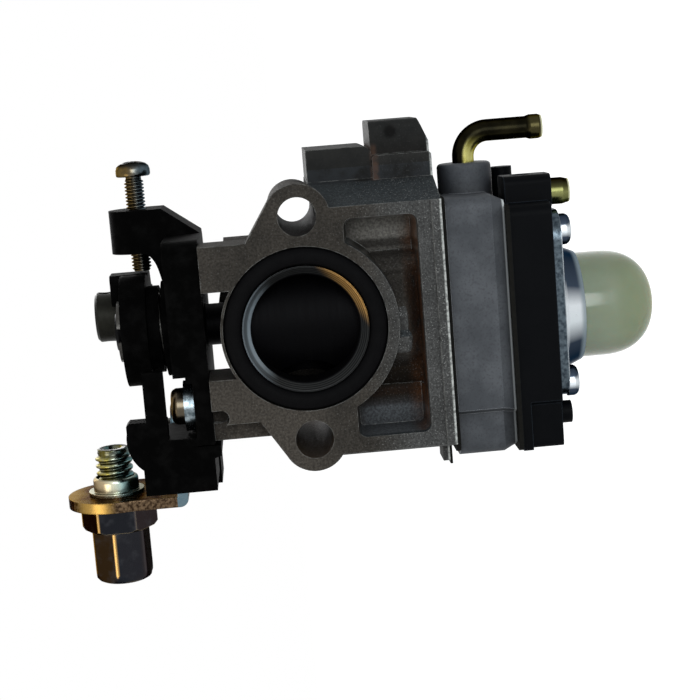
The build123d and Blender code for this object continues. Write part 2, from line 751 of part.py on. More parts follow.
# Black cover that guides the shaft, holds the idle screw and backs the cable bracket.
with BuildPart() as throttle_cover:
    # base plate, low over the front screw's side, with the bracket's seat at its corner
    with BuildSketch(Plane.XY.offset(cover_seat)):
        with BuildLine():
            Polyline(
                (cover_low_side, cover_front),
                (cover_high_side, cover_front),
                (cover_high_side, cover_back),
                (foot_seat_low, cover_back),
                (foot_seat_low, bracket_front),
                (cover_low_side, bracket_front),
                close=True,
            )
        make_face()
        fillet(vertices().group_by(Axis.X)[-1], radius=cover_corner)
    extrude(amount=screw_shelf - cover_seat)
    with BuildSketch(Plane.XY.offset(cover_seat)):
        with Locations(((screw_shelf_side + cover_high_side) / 2, (cover_front + cover_back) / 2)):
            Rectangle(cover_high_side - screw_shelf_side, cover_back - cover_front)
        fillet(vertices().group_by(Axis.X)[-1], radius=cover_corner)
    extrude(amount=cover_top - cover_seat)
    with BuildSketch(Plane.XY.offset(cover_seat)):
        with Locations(((foot_seat_low + bracket_foot_end) / 2, (bracket_front + cover_back) / 2)):
            Rectangle(bracket_foot_end - foot_seat_low, cover_back - bracket_front)
    extrude(amount=bracket_foot - cover_seat)
    # boss round the spring
    with BuildSketch(Plane.XY.offset(cover_seat)):
        with Locations((0, axis_y)):
            Circle(hub_boss_radius)
    extrude(amount=hub_boss_top - cover_seat)
    # lug of the idle screw, with its shoulder down to the cover's edge
    with BuildSketch(Plane.YZ.offset(idle_lug_low)):
        with Locations((idle_y, idle_z)):
            Circle(idle_lug_radius)
        with Locations((idle_y, (cover_seat + idle_z) / 2)):
            Rectangle(2 * idle_lug_radius, idle_z - cover_seat)
    extrude(amount=idle_lug_high - idle_lug_low)
    with BuildSketch(front_plane(idle_y - 2 * idle_lug_radius)):
        with BuildLine():
            Polyline(
                (cover_high_side, cover_seat),
                (idle_lug_high, cover_top + 0.3),
                (2 * idle_lug_high, cover_top + 0.3),
                (2 * idle_lug_high, cover_seat),
                close=True,
            )
        make_face()
    extrude(amount=-4 * idle_lug_radius, mode=Mode.SUBTRACT)
    # gusset that sweeps from the lug down to the cover
    with BuildSketch(front_plane(idle_y - idle_lug_radius)):
        with BuildLine():
            gusset_foot = (gusset_start, cover_top)
            gusset_top = (idle_lug_low, gusset_height)
            Spline(gusset_foot, gusset_knee, gusset_top, tangents=[(1, 0.2), (0.4, 1)])
            Polyline(
                gusset_top,
                (idle_lug_low + 1, gusset_height),
                (idle_lug_low + 1, cover_top - 1),
                (gusset_start, cover_top - 1),
                gusset_foot,
            )
        make_face()
    extrude(amount=-2 * idle_lug_radius)
    # block beside the cable, hollowed by an arc that clears the adjuster
    with BuildSketch(front_plane(block_front)):
        with BuildLine():
            Polyline(
                (block_wall, screw_pad),
                (block_wall, block_high + 0.5),
                (block_wall - 4.0, block_high),
                (block_low, block_high),
                (block_low, block_inner),
                (block_lip_sides[0], block_inner),
                (block_lip_sides[0] + 0.3, block_lip),
                (block_lip_sides[1], block_lip),
                (block_lip_sides[1], screw_pad),
                close=True,
            )
        make_face()
    extrude(amount=block_front - block_back)
    # its front shoulder, and the finger from there towards the spring's boss
    with BuildSketch(front_plane(block_front)):
        with BuildLine():
            arc_top = (block_wall + 1.4, shoulder_tip)
            arc_end = (block_wall - 4.0, block_high)
            Polyline(
                arc_end,
                (block_wall - 4.0, finger_low),
                (shoulder_side, finger_low),
                (shoulder_side, shoulder_tip - 0.4),
                (shoulder_side - 0.4, shoulder_tip),
                arc_top,
            )
            RadiusArc(arc_top, arc_end, -5.5)
        make_face()
    extrude(amount=-shoulder_depth)
    with BuildSketch(front_plane(block_front)):
        with Locations(((shoulder_side + finger_end) / 2 - 0.5, (finger_low + finger_high) / 2)):
            Rectangle(finger_end - shoulder_side + 1, finger_high - finger_low)
    extrude(amount=-finger_depth)
    # open seats of the two screws
    with BuildSketch(Plane.XY.offset(screw_pad)):
        with Locations(front_screw_place):
            Circle(screw_pad_radius)
        with Locations((front_screw_place[0], front_screw_place[1] - screw_pad_radius)):
            Rectangle(2 * screw_pad_radius, 2 * screw_pad_radius)
    extrude(amount=finger_low - screw_pad, mode=Mode.SUBTRACT)
    with BuildSketch(Plane.XY.offset(screw_pad)):
        with Locations(rear_screw_place):
            Circle(cover_washer_radius + sheet_fit)
    extrude(amount=idle_z, mode=Mode.SUBTRACT)
    # spring well, shaft bore, screw holes, idle screw's bore and bracket screw's hole
    with BuildSketch(Plane.XY.offset(spring_well_floor)):
        with Locations((0, axis_y)):
            Circle(spring_well_radius)
    extrude(amount=hub_boss_top - spring_well_floor, mode=Mode.SUBTRACT)
    with BuildSketch(Plane.XY.offset(cover_seat)):
        with Locations((0, axis_y)):
            Circle(shaft_radius + cover_hub_clearance)
        with Locations(cover_screws_xy):
            Circle(cover_screw_radius + screw_fit)
        with Locations(bracket_screw_place):
            Circle(cover_screw_radius)
    extrude(amount=idle_z - cover_seat, mode=Mode.SUBTRACT)
    with BuildSketch(Plane.YZ.offset(gusset_start)):
        with Locations((idle_y, idle_z)):
            Circle(idle_shank_radius + running_fit)
    extrude(amount=idle_lug_high, mode=Mode.SUBTRACT)
finish(throttle_cover, "throttle_cover")

# Two pan-head screws that hold the cover down on the arms.
with BuildPart() as cover_screws:
    for screw_xy in cover_screws_xy:
        under_head = screw_pad + cover_washer_thickness
        with BuildSketch(Plane.XY.offset(cover_seat - cover_thread_depth + thread_end_gap)):
            with Locations(screw_xy):
                Circle(cover_screw_radius)
        extrude(amount=under_head - cover_seat + cover_thread_depth - thread_end_gap)
        with BuildSketch(Plane.XY.offset(under_head)):
            with Locations(screw_xy):
                Circle(cover_head_radius)
        extrude(amount=cover_head_height)
    top_rims = cover_screws.edges().filter_by(GeomType.CIRCLE).group_by(Axis.Z)[-1]
    fillet(top_rims, radius=0.9)
    for screw_xy in cover_screws_xy:
        head_top = screw_pad + cover_washer_thickness + cover_head_height
        head_slots = crossed_slots(Plane((screw_xy[0], screw_xy[1], head_top)), 1.3 * cover_head_radius)
        extrude(head_slots, amount=-drive_recess_depth, mode=Mode.SUBTRACT)
finish(cover_screws, "cover_screws")

# Washers captive under the cover screws' heads.
with BuildPart() as cover_washers:
    with BuildSketch(Plane.XY.offset(screw_pad)):
        with Locations(cover_screws_xy):
            Circle(cover_washer_radius)
            Circle(cover_screw_radius + screw_fit, mode=Mode.SUBTRACT)
    extrude(amount=cover_washer_thickness)
finish(cover_washers, "cover_washers")

# Idle speed screw: its tip is the stop of the throttle lever.
with BuildPart() as idle_speed_screw:
    with BuildSketch(Plane.YZ.offset(idle_tip)):
        with Locations((idle_y, idle_z)):
            Circle(idle_tip_radius)
    extrude(amount=idle_tip_length)
    with BuildSketch(Plane.YZ.offset(idle_tip + idle_tip_length)):
        with Locations((idle_y, idle_z)):
            Circle(idle_shank_radius)
    extrude(amount=idle_head_under - idle_tip - idle_tip_length)
    with BuildSketch(Plane.YZ.offset(idle_head_under)):
        with Locations((idle_y, idle_z)):
            Circle(idle_head_radius)
    extrude(amount=idle_head_height)
    fillet(idle_speed_screw.faces().sort_by(Axis.X)[-1].edges(), radius=0.45 * idle_head_height)
    idle_head_face = Plane(
        origin=(idle_head_under + idle_head_height, idle_y, idle_z),
        x_dir=(0, 1, 0),
        z_dir=(1, 0, 0),
    )
    idle_slots = crossed_slots(idle_head_face, 1.2 * idle_head_radius)
    extrude(idle_slots, amount=-drive_recess_depth, mode=Mode.SUBTRACT)
finish(idle_speed_screw, "idle_speed_screw")

# Throttle lever: hub on the shaft, arm to the cable swivel and the tab that meets the idle screw.
with BuildPart() as throttle_lever:
    with BuildSketch(Plane.XY.offset(lever_core_low)):
        with Locations((0, axis_y)):
            Circle(lever_core_radius)
    extrude(amount=lever_low - lever_core_low)
    with BuildSketch(Plane.XY.offset(lever_skirt_low)):
        with Locations((0, axis_y)):
            Circle(lever_skirt_outer)
            Circle(lever_skirt_inner, mode=Mode.SUBTRACT)
    extrude(amount=lever_low - lever_skirt_low)
    with BuildSketch(Plane.XY.offset(lever_low)):
        with Locations((0, axis_y)):
            Circle(lever_hub_radius)
        with Locations(swivel_place):
            Circle(lever_end_radius)
        with BuildLine():
            Polyline(
                (-lever_hub_radius + 1.2, axis_y + 1.5),
                (swivel_place[0] - lever_end_radius, swivel_place[1] - 0.5),
                (swivel_place[0] + lever_end_radius, swivel_place[1] - 0.5),
                (tab_reach - 0.6, axis_y + tab_back_rise),
                (tab_reach - 0.6, axis_y + tab_front_rise),
                (lever_hub_radius - 0.8, axis_y),
                close=True,
            )
        make_face()
    extrude(amount=lever_high - lever_low)
    with BuildSketch(Plane.XY.offset(lever_low)):
        with Locations(((tab_low_side + tab_reach) / 2, axis_y + (tab_front_rise + tab_back_rise) / 2)):
            RectangleRounded(tab_reach - tab_low_side, tab_back_rise - tab_front_rise, 0.8)
        with Locations(swivel_place):
            Circle(swivel_radius + free_gap, mode=Mode.SUBTRACT)
    extrude(amount=tab_high - lever_low)
    with BuildSketch(Plane.XY.offset(lever_core_low)):
        with Locations((0, axis_y)):
            Circle(shaft_radius)
        with Locations(swivel_place):
            Circle(swivel_stem_radius + running_fit)
    extrude(amount=tab_high, mode=Mode.SUBTRACT)
finish(throttle_lever, "throttle_lever")

# Snap ring that keeps the lever on the shaft.
with BuildPart() as shaft_ring:
    with BuildSketch(Plane.XY.offset(lever_high)):
        with Locations((0, axis_y)):
            Circle(shaft_radius + 1.4)
            Circle(shaft_radius, mode=Mode.SUBTRACT)
        with Locations((0, axis_y - shaft_radius - 1)):
            Rectangle(2.0, 3.0, mode=Mode.SUBTRACT)
    extrude(amount=ring_thickness)
finish(shaft_ring, "shaft_ring")

# Return spring round the lever's core, as the sleeve that its coils fill.
with BuildPart() as return_spring:
    with BuildSketch(Plane.XY.offset(spring_well_floor)):
        with Locations((0, axis_y)):
            Circle(spring_radius + spring_wire / 2)
            Circle(spring_radius - spring_wire / 2, mode=Mode.SUBTRACT)
    extrude(amount=spring_top - spring_well_floor)
finish(return_spring, "return_spring")

# Swivel that holds the cable's end, turning in the lever's arm.
with BuildPart() as cable_swivel:
    swivel_base = lever_high + 0.1
    with BuildSketch(Plane.XY.offset(swivel_base)):
        with Locations(swivel_place):
            Circle(swivel_radius)
    extrude(amount=swivel_height)
    chamfer(cable_swivel.faces().sort_by(Axis.Z)[-1].edges(), length=0.4)
    with BuildSketch(Plane.XY.offset(lever_low - 1.0)):
        with Locations(swivel_place):
            Circle(swivel_stem_radius)
    extrude(amount=swivel_base - lever_low + 1.0)
    # bore for the cable's nipple from one side, narrow slot for the cable from the other
    with BuildSketch(Plane.YZ.offset(swivel_place[0] - 2 * swivel_radius)):
        with Locations((swivel_place[1], cable_z - 1.3)):
            Circle(cable_bore_radius)
    extrude(amount=4 * swivel_radius, mode=Mode.SUBTRACT)
    with BuildSketch(Plane.XY.offset(cable_z - 1.3)):
        with Locations((swivel_place[0] - swivel_radius, swivel_place[1])):
            Rectangle(2 * swivel_radius, swivel_slot)
    extrude(amount=swivel_height, mode=Mode.SUBTRACT)
finish(cable_swivel, "cable_swivel")

# Clip on the swivel's stem under the arm.
with BuildPart() as swivel_clip:
    with BuildSketch(Plane.XY.offset(lever_low - 0.8)):
        with Locations(swivel_place):
            Circle(swivel_stem_radius + 1.0)
            Circle(swivel_stem_radius, mode=Mode.SUBTRACT)
    extrude(amount=0.6)
finish(swivel_clip, "swivel_clip")

# Plated steel bracket: foot screwed on the cover, rounded ear round the cable adjuster.
with BuildPart() as cable_bracket:
    with BuildSketch(Plane.YZ.offset(bracket_low)):
        with Locations(hex_centre):
            Circle(bracket_end_radius)
        with BuildLine():
            Polyline(
                (bracket_front, bracket_foot),
                (cable_y + bracket_end_radius, bracket_foot),
                (cable_y + bracket_end_radius, cable_z),
                (cable_y - bracket_end_radius + 0.4, cable_z),
                close=True,
            )
        make_face()
    extrude(amount=bracket_thickness)
    with BuildSketch(Plane.XY.offset(bracket_foot)):
        with BuildLine():
            Polyline(
                (bracket_low, bracket_front),
                (bracket_foot_end, bracket_front),
                (bracket_foot_end, cover_back),
                (bracket_low, cable_y + bracket_end_radius),
                close=True,
            )
        make_face()
        fillet(vertices().group_by(Axis.X)[-1], radius=2.5)
    extrude(amount=bracket_thickness)
    bend_edge = cable_bracket.edges().filter_by(Axis.Y).group_by(Axis.X)[0].sort_by(Axis.Z)[0]
    fillet(bend_edge, radius=1.3)
    with BuildSketch(Plane.YZ.offset(bracket_low)):
        with Locations(hex_centre):
            Circle(collar_radius - 0.4)
    extrude(amount=bracket_thickness, mode=Mode.SUBTRACT)
    with BuildSketch(Plane.XY.offset(bracket_foot)):
        with Locations(bracket_screw_place):
            Circle(cover_screw_radius + screw_fit)
    extrude(amount=bracket_thickness, mode=Mode.SUBTRACT)
finish(cable_bracket, "cable_bracket")

# Screw of the bracket's foot.
with BuildPart() as bracket_screw:
    foot_top = bracket_foot + bracket_thickness
    with BuildSketch(Plane.XY.offset(cover_seat + 0.3)):
        with Locations(bracket_screw_place):
            Circle(cover_screw_radius)
    extrude(amount=foot_top - cover_seat - 0.3)
    with BuildSketch(Plane.XY.offset(foot_top)):
        with Locations(bracket_screw_place):
            Circle(cover_head_radius)
    extrude(amount=cover_head_height)
    fillet(bracket_screw.faces().sort_by(Axis.Z)[-1].edges(), radius=0.9)
    bracket_head = Plane((bracket_screw_place[0], bracket_screw_place[1], foot_top + cover_head_height))
    bracket_slots = crossed_slots(bracket_head, 1.3 * cover_head_radius)
    extrude(bracket_slots, amount=-drive_recess_depth, mode=Mode.SUBTRACT)
finish(bracket_screw, "bracket_screw")

# Threaded collar swaged into the bracket; the adjuster runs in it.
with BuildPart() as bracket_collar:
    with BuildSketch(Plane.YZ.offset(bracket_face)):
        with Locations(hex_centre):
            Circle(collar_radius)
    extrude(amount=collar_height)
    fillet(bracket_collar.faces().sort_by(Axis.X)[-1].edges(), radius=0.6)
    with BuildSketch(Plane.YZ.offset(bracket_face)):
        with Locations(hex_centre):
            Circle(collar_flare)
    extrude(amount=0.5)
    with BuildSketch(Plane.YZ.offset(bracket_low)):
        with Locations(hex_centre):
            Circle(collar_radius - 0.4)
    extrude(amount=bracket_thickness)
    with BuildSketch(Plane.YZ.offset(bracket_low)):
        with Locations(hex_centre):
            Circle(adjuster_radius + running_fit)
    extrude(amount=bracket_thickness + collar_height, mode=Mode.SUBTRACT)
finish(bracket_collar, "bracket_collar")

# Cable adjuster: a threaded tube with a hexagon cap, bored for the cable.
with BuildPart() as cable_adjuster:
    with BuildSketch(Plane.YZ.offset(cap_end)):
        with Locations(hex_centre):
            RegularPolygon(cap_flats / 2, 6, major_radius=False, rotation=hex_turn)
    extrude(amount=cap_length)
    cap_envelope = turned_envelope(cap_end, nut_low, cap_rounding, hex_corner, cap_flats)
    revolve(cap_envelope, axis=cable_axis, mode=Mode.INTERSECT)
    with BuildSketch(Plane.YZ.offset(nut_low)):
        with Locations(hex_centre):
            Circle(adjuster_radius)
    extrude(amount=adjuster_top - nut_low)
    chamfer(cable_adjuster.faces().sort_by(Axis.X)[-1].edges(), length=0.4)
    with BuildSketch(Plane.YZ.offset(cap_end)):
        with Locations(hex_centre):
            Circle(adjuster_bore)
    extrude(amount=adjuster_top - cap_end, mode=Mode.SUBTRACT)
    with BuildSketch(Plane.YZ.offset(cap_end)):
        with Locations(hex_centre):
            Circle(cap_flats * 0.34)
    extrude(amount=0.7 * cap_length, mode=Mode.SUBTRACT)
finish(cable_adjuster, "cable_adjuster")

# Lock nut between the adjuster's cap and the bracket.
with BuildPart() as adjuster_nut:
    with BuildSketch(Plane.YZ.offset(nut_low + 0.1)):
        with Locations(hex_centre):
            RegularPolygon(nut_flats / 2, 6, major_radius=False, rotation=30)
            Circle(adjuster_radius + running_fit, mode=Mode.SUBTRACT)
    extrude(amount=nut_height - 0.2)
    nut_envelope = turned_envelope(nut_low + 0.1, bracket_low - 0.1, hex_corner, hex_corner, nut_flats)
    revolve(nut_envelope, axis=cable_axis, mode=Mode.INTERSECT)
finish(adjuster_nut, "adjuster_nut")

# Pump gasket, with the tab that marks its side.
with BuildPart() as pump_gasket:
    extrude(sheet_outline(base_face, base_low_side, base_front_high), amount=-gasket_thickness)
    with BuildSketch(Plane.XY.offset(base_face - gasket_thickness)):
        with Locations((base_low_side - sheet_tab_length / 2, axis_y)):
            Rectangle(sheet_tab_length + 1, sheet_tab_width)
    extrude(amount=gasket_thickness)
    with BuildSketch(Plane.XY.offset(base_face - gasket_thickness)):
        with Locations((stack_x, axis_y)):
            Circle(chamber_radius * 0.6)
    extrude(amount=gasket_thickness, mode=Mode.SUBTRACT)
finish(pump_gasket, "pump_gasket")

# Pump diaphragm, with the two flap valves cut in it.
with BuildPart() as pump_diaphragm:
    diaphragm_outline = sheet_outline(base_face - gasket_thickness, base_low_side, base_front_high)
    extrude(diaphragm_outline, amount=-diaphragm_thickness)
    with BuildSketch(Plane.XY.offset(pump_top)):
        for flap_x in (stack_x - flap_side, stack_x + flap_side):
            with Locations((flap_x, axis_y + flap_rise)):
                Circle(flap_radius)
                Circle(flap_radius - flap_cut, mode=Mode.SUBTRACT)
            with Locations((flap_x, axis_y + flap_rise + flap_radius)):
                Rectangle(1.1 * flap_radius, flap_radius, mode=Mode.SUBTRACT)
    extrude(amount=diaphragm_thickness, mode=Mode.SUBTRACT)
finish(pump_diaphragm, "pump_diaphragm")

# Pump block: inlet boss on its upper side, metering chamber below.
with BuildPart() as pump_body:
    with BuildSketch(Plane.XY.offset(pump_bottom)):
        with BuildLine():
            Polyline(
                (pump_low_side, pump_front + pump_step_back),
                (pump_step - 0.6, pump_front + pump_step_back),
                (pump_step, pump_front),
                (pump_high_side, pump_front),
                (pump_high_side, base_back),
                (pump_low_side, base_back),
                close=True,
            )
        make_face()
        fillet(vertices().group_by(Axis.X)[-1], radius=pump_corner)
        fillet(vertices().group_by(Axis.X)[0], radius=pump_corner)
    extrude(amount=pump_height)
    lower_rim = pump_body.faces().sort_by(Axis.Z)[0].edges().filter_by(Axis.X).group_by(Axis.Y)
    chamfer(lower_rim[0], length=pump_chamfer, length2=0.5 * pump_chamfer)
    with BuildSketch(Plane.YZ.offset(pump_high_side - 2)):
        with Locations((inlet_y, inlet_z)):
            Circle(inlet_boss_radius)
    extrude(amount=inlet_boss_top - pump_high_side + 2)
    fillet(pump_body.faces().sort_by(Axis.X)[-1].edges(), radius=0.6)
    with BuildSketch(Plane.YZ.offset(pump_high_side - 1)):
        with Locations((inlet_y + pump_pad_rise, pump_bottom + pump_pad_height / 2)):
            Rectangle(pump_pad_width, pump_pad_height)
    extrude(amount=pump_pad_reach + 1)
    # metering chamber, inlet valve's bore and the bore of the inlet tube
    with BuildSketch(Plane.XY.offset(pump_bottom)):
        with Locations((stack_x, axis_y)):
            Circle(chamber_radius)
    extrude(amount=chamber_depth, mode=Mode.SUBTRACT)
    with BuildSketch(Plane.XY.offset(chamber_ceiling)):
        with Locations((stack_x, valve_y)):
            Circle(valve_radius + running_fit)
    extrude(amount=0.7 * (pump_height - chamber_depth), mode=Mode.SUBTRACT)
    with BuildSketch(Plane.YZ.offset(inlet_boss_top)):
        with Locations((inlet_y, inlet_z)):
            Circle(tube_radius)
    extrude(amount=-4.0, mode=Mode.SUBTRACT)
    with BuildSketch(Plane.YZ.offset(inlet_boss_top)):
        with Locations((inlet_y, inlet_z)):
            Circle(tube_bore)
    extrude(amount=-10.0, mode=Mode.SUBTRACT)
    with BuildSketch(Plane.XY.offset(pump_bottom)):
        with Locations(stack_screws_xy):
            Circle(stack_screw_radius + screw_fit)
    extrude(amount=pump_height, mode=Mode.SUBTRACT)
finish(pump_body, "pump_body")

# Inlet tube: up out of the boss, over a bend, and down beside the stack to its barb.
with BuildPart() as inlet_elbow:
    tube_low = inlet_boss_top - 3.8
    with BuildLine() as tube_path:
        rise_line = Line((tube_low, inlet_y, inlet_z), (tube_rise - tube_bend, inlet_y, inlet_z))
        bend_arc = ThreePointArc(
            rise_line @ 1,
            (
                tube_rise - tube_bend + tube_bend * sin(radians(45)),
                inlet_y,
                inlet_z - tube_bend * (1 - cos(radians(45))),
            ),
            (tube_rise, inlet_y, inlet_z - tube_bend),
        )
        run_line = Line(bend_arc @ 1, (tube_rise, inlet_y, tube_end))
    with BuildSketch(Plane.YZ.offset(tube_low)):
        with Locations((inlet_y, inlet_z)):
            Circle(tube_radius)
    sweep(path=tube_path.wires()[0])
    # barb at the free end
    barb_axis = Axis((tube_rise, inlet_y, 0), (0, 0, 1))
    with BuildSketch(front_plane(inlet_y)):
        with BuildLine():
            Polyline(
                (tube_rise, tube_end),
                (tube_rise + tube_radius, tube_end),
                (tube_rise + barb_radius, tube_end + 0.5),
                (tube_rise + barb_radius, tube_end + barb_length - 0.6),
                (tube_rise + tube_radius, tube_end + barb_length),
                (tube_rise, tube_end + barb_length),
                close=True,
            )
        make_face()
    revolve(axis=barb_axis)
    with BuildSketch(Plane.YZ.offset(tube_low)):
        with Locations((inlet_y, inlet_z)):
            Circle(tube_bore)
    sweep(path=tube_path.wires()[0], mode=Mode.SUBTRACT)
finish(inlet_elbow, "inlet_elbow")

# Fine filter screen at the inner end of the inlet tube.
with BuildPart() as inlet_screen:
    with BuildSketch(Plane.YZ.offset(inlet_boss_top - 4.0)):
        with Locations((inlet_y, inlet_z)):
            Circle(tube_radius - 0.1)
            with GridLocations(0.7, 0.7, 3, 3):
                Circle(0.2, mode=Mode.SUBTRACT)
    extrude(amount=0.18)
finish(inlet_screen, "inlet_screen")

# Inlet needle valve: it closes the fuel's bore until the metering lever's fork lets it down.
valve_low = pin_z + lever_thickness / 2 + lever_play
with BuildPart() as inlet_valve:
    with BuildSketch(front_plane(valve_y)):
        with BuildLine():
            Polyline(
                (stack_x, valve_low),
                (stack_x + valve_radius, valve_low),
                (stack_x + valve_radius, valve_low + valve_length - valve_cone),
                (stack_x, valve_low + valve_length),
                close=True,
            )
        make_face()
    revolve(axis=Axis((stack_x, valve_y, 0), (0, 0, 1)))
finish(inlet_valve, "inlet_valve")

# Pin that the metering lever rocks on, with the feet that hold its ends under the ceiling.
with BuildPart() as metering_pin:
    with BuildSketch(Plane.YZ.offset(stack_x - lever_pin_length / 2)):
        with Locations((pin_y, pin_z)):
            Circle(lever_pin_radius)
    extrude(amount=lever_pin_length)
    foot_width = 2 * lever_pin_radius
    for foot_x in (stack_x - lever_pin_length / 2, stack_x + lever_pin_length / 2 - foot_width):
        with BuildSketch(Plane.YZ.offset(foot_x)):
            with Locations((pin_y, (pin_z + chamber_ceiling) / 2)):
                Rectangle(foot_width, chamber_ceiling - pin_z)
        extrude(amount=foot_width)
finish(metering_pin, "metering_pin")

# Metering lever: the long arm lies over the diaphragm's button, the short one under the valve.
with BuildPart() as metering_lever:
    with BuildSketch(Plane.YZ.offset(stack_x - lever_width / 2)):
        with Locations((pin_y, pin_z)):
            Circle(lever_pin_radius + lever_thickness)
        with Locations((pin_y + (fork_arm - lever_arm) / 2, pin_z)):
            Rectangle(lever_arm + fork_arm + lever_width / 2, lever_thickness)
        with Locations((pin_y, pin_z)):
            Circle(lever_pin_radius + running_fit, mode=Mode.SUBTRACT)
    extrude(amount=lever_width)
finish(metering_lever, "metering_lever")

# Light spring that presses the lever's long arm down.
with BuildPart() as metering_spring:
    spring_foot = pin_z + lever_thickness / 2
    with BuildSketch(Plane.XY.offset(spring_foot)):
        with Locations((stack_x, pin_y - metering_spring_arm)):
            Circle(metering_spring_radius)
            Circle(metering_spring_radius - metering_spring_wire, mode=Mode.SUBTRACT)
    extrude(amount=chamber_ceiling - spring_foot)
finish(metering_spring, "metering_spring")

# Metering gasket and diaphragm under the pump block.
with BuildPart() as metering_gasket:
    extrude(sheet_outline(pump_bottom, purge_low_side, purge_high_side), amount=-gasket_thickness)
    with BuildSketch(Plane.XY.offset(metering_top)):
        with Locations((stack_x, axis_y)):
            Circle(chamber_radius)
    extrude(amount=gasket_thickness, mode=Mode.SUBTRACT)
finish(metering_gasket, "metering_gasket")

with BuildPart() as metering_diaphragm:
    extrude(sheet_outline(metering_top, purge_low_side, purge_high_side), amount=-diaphragm_thickness)
finish(metering_diaphragm, "metering_diaphragm")

# Button at the diaphragm's centre, which pushes the lever's long arm.
with BuildPart() as diaphragm_button:
    button_top = pin_z - lever_thickness / 2 - lever_play
    with BuildSketch(Plane.XY.offset(metering_top)):
        with Locations((stack_x, axis_y)):
            Circle(button_radius)
    extrude(amount=button_height)
    with BuildSketch(Plane.XY.offset(metering_top)):
        with Locations((stack_x, axis_y)):
            Circle(button_pin_radius)
    extrude(amount=button_top - metering_top)
finish(diaphragm_button, "diaphragm_button")

# Purge body: moulded block with the return port's boss and the seat of the primer bulb.
with BuildPart() as purge_body:
    with BuildSketch(Plane.XY.offset(purge_bottom)):
        with BuildLine():
            Polyline(
                (purge_low_side, purge_front + 0.9),
                (purge_ledge - 0.5, purge_front + 0.9),
                (purge_ledge, purge_front),
                (purge_high_side, purge_front),
                (purge_high_side, base_back),
                (purge_low_side, base_back),
                close=True,
            )
        make_face()
        fillet(vertices().group_by(Axis.X)[-1], radius=1.6)
        fillet(vertices().group_by(Axis.X)[0], radius=0.8)
    extrude(amount=purge_height)
    with BuildSketch(Plane.XY.offset(purge_boss_end)):
        with Locations(((purge_boss_top + purge_boss_start) / 2, purge_boss_y)):
            RectangleRounded(purge_boss_top - purge_boss_start, 2 * purge_boss_radius, 1.2)
    extrude(amount=purge_top - purge_boss_end)
    with BuildSketch(Plane.XY.offset(purge_top - 1.4)):
        with Locations(((purge_low_side + purge_ledge) / 2, purge_front + 3)):
            Rectangle(purge_ledge - purge_low_side, 6)
    extrude(amount=1.4, mode=Mode.ADD)
    with BuildSketch(Plane.XY.offset(purge_bottom)):
        with Locations((purge_lug_x, purge_front + purge_lug_setback)):
            Circle(purge_lug_radius)
    extrude(amount=-purge_lug_radius)
    with BuildSketch(Plane.YZ.offset(purge_high_side - 2)):
        with Locations((axis_y + purge_ear_rise, purge_top - purge_ear_radius)):
            Circle(purge_ear_radius)
    extrude(amount=purge_ear_top - purge_high_side + 2)
    # vent recess over the diaphragm and seat of the check valve under the bulb
    with BuildSketch(Plane.XY.offset(purge_top)):
        with Locations((stack_x, axis_y)):
            Circle(chamber_radius)
    extrude(amount=-1.8, mode=Mode.SUBTRACT)
    with BuildSketch(Plane.XY.offset(purge_bottom)):
        with Locations((stack_x, axis_y)):
            Circle(bulb_radius - bulb_wall - 0.6)
    extrude(amount=valve_seat_depth, mode=Mode.SUBTRACT)
    with BuildSketch(Plane.YZ.offset(purge_boss_top)):
        with Locations((purge_boss_y, purge_boss_end + 3.8)):
            Circle(purge_port_radius)
    extrude(amount=-2.0, mode=Mode.SUBTRACT)
    with BuildSketch(Plane.XY.offset(purge_boss_end)):
        with Locations((nipple_x, purge_boss_y)):
            Circle(nipple_radius - 0.5)
    extrude(amount=2.0, mode=Mode.SUBTRACT)
    with BuildSketch(Plane.XY.offset(purge_bottom)):
        with Locations(stack_screws_xy):
            Circle(stack_screw_radius + screw_fit)
    extrude(amount=purge_height, mode=Mode.SUBTRACT)
finish(purge_body, "purge_body")

# Brass nipple of the fuel return, pressed into the purge body's boss.
with BuildPart() as return_nipple:
    nipple_end = purge_boss_end - nipple_length
    with BuildSketch(front_plane(purge_boss_y)):
        with BuildLine():
            Polyline(
                (nipple_x + nipple_bore, purge_boss_end + 2.0),
                (nipple_x + nipple_radius - 0.5, purge_boss_end + 2.0),
                (nipple_x + nipple_radius - 0.5, purge_boss_end),
                (nipple_x + nipple_radius, purge_boss_end),
                (nipple_x + nipple_radius, nipple_end + 1.0),
                (nipple_x + nipple_tip_radius, nipple_end),
                (nipple_x + nipple_bore, nipple_end),
                close=True,
            )
        make_face()
    revolve(axis=Axis((nipple_x, purge_boss_y, 0), (0, 0, 1)))
finish(return_nipple, "return_nipple")

# Rubber check valve in its seat under the bulb.
with BuildPart() as check_valve:
    with BuildSketch(front_plane(axis_y)):
        with BuildLine():
            Polyline(
                (stack_x, purge_bottom - valve_stem_length),
                (stack_x + 0.4 * valve_stem_radius, purge_bottom - valve_stem_length),
                (stack_x + valve_stem_radius, purge_bottom),
                (stack_x + valve_disc_radius, purge_bottom + 0.55 * valve_seat_depth),
                (stack_x + valve_disc_radius, purge_bottom + valve_seat_depth),
                (stack_x, purge_bottom + valve_seat_depth),
                close=True,
            )
        make_face()
    revolve(axis=Axis((stack_x, axis_y, 0), (0, 0, 1)))
finish(check_valve, "check_valve")

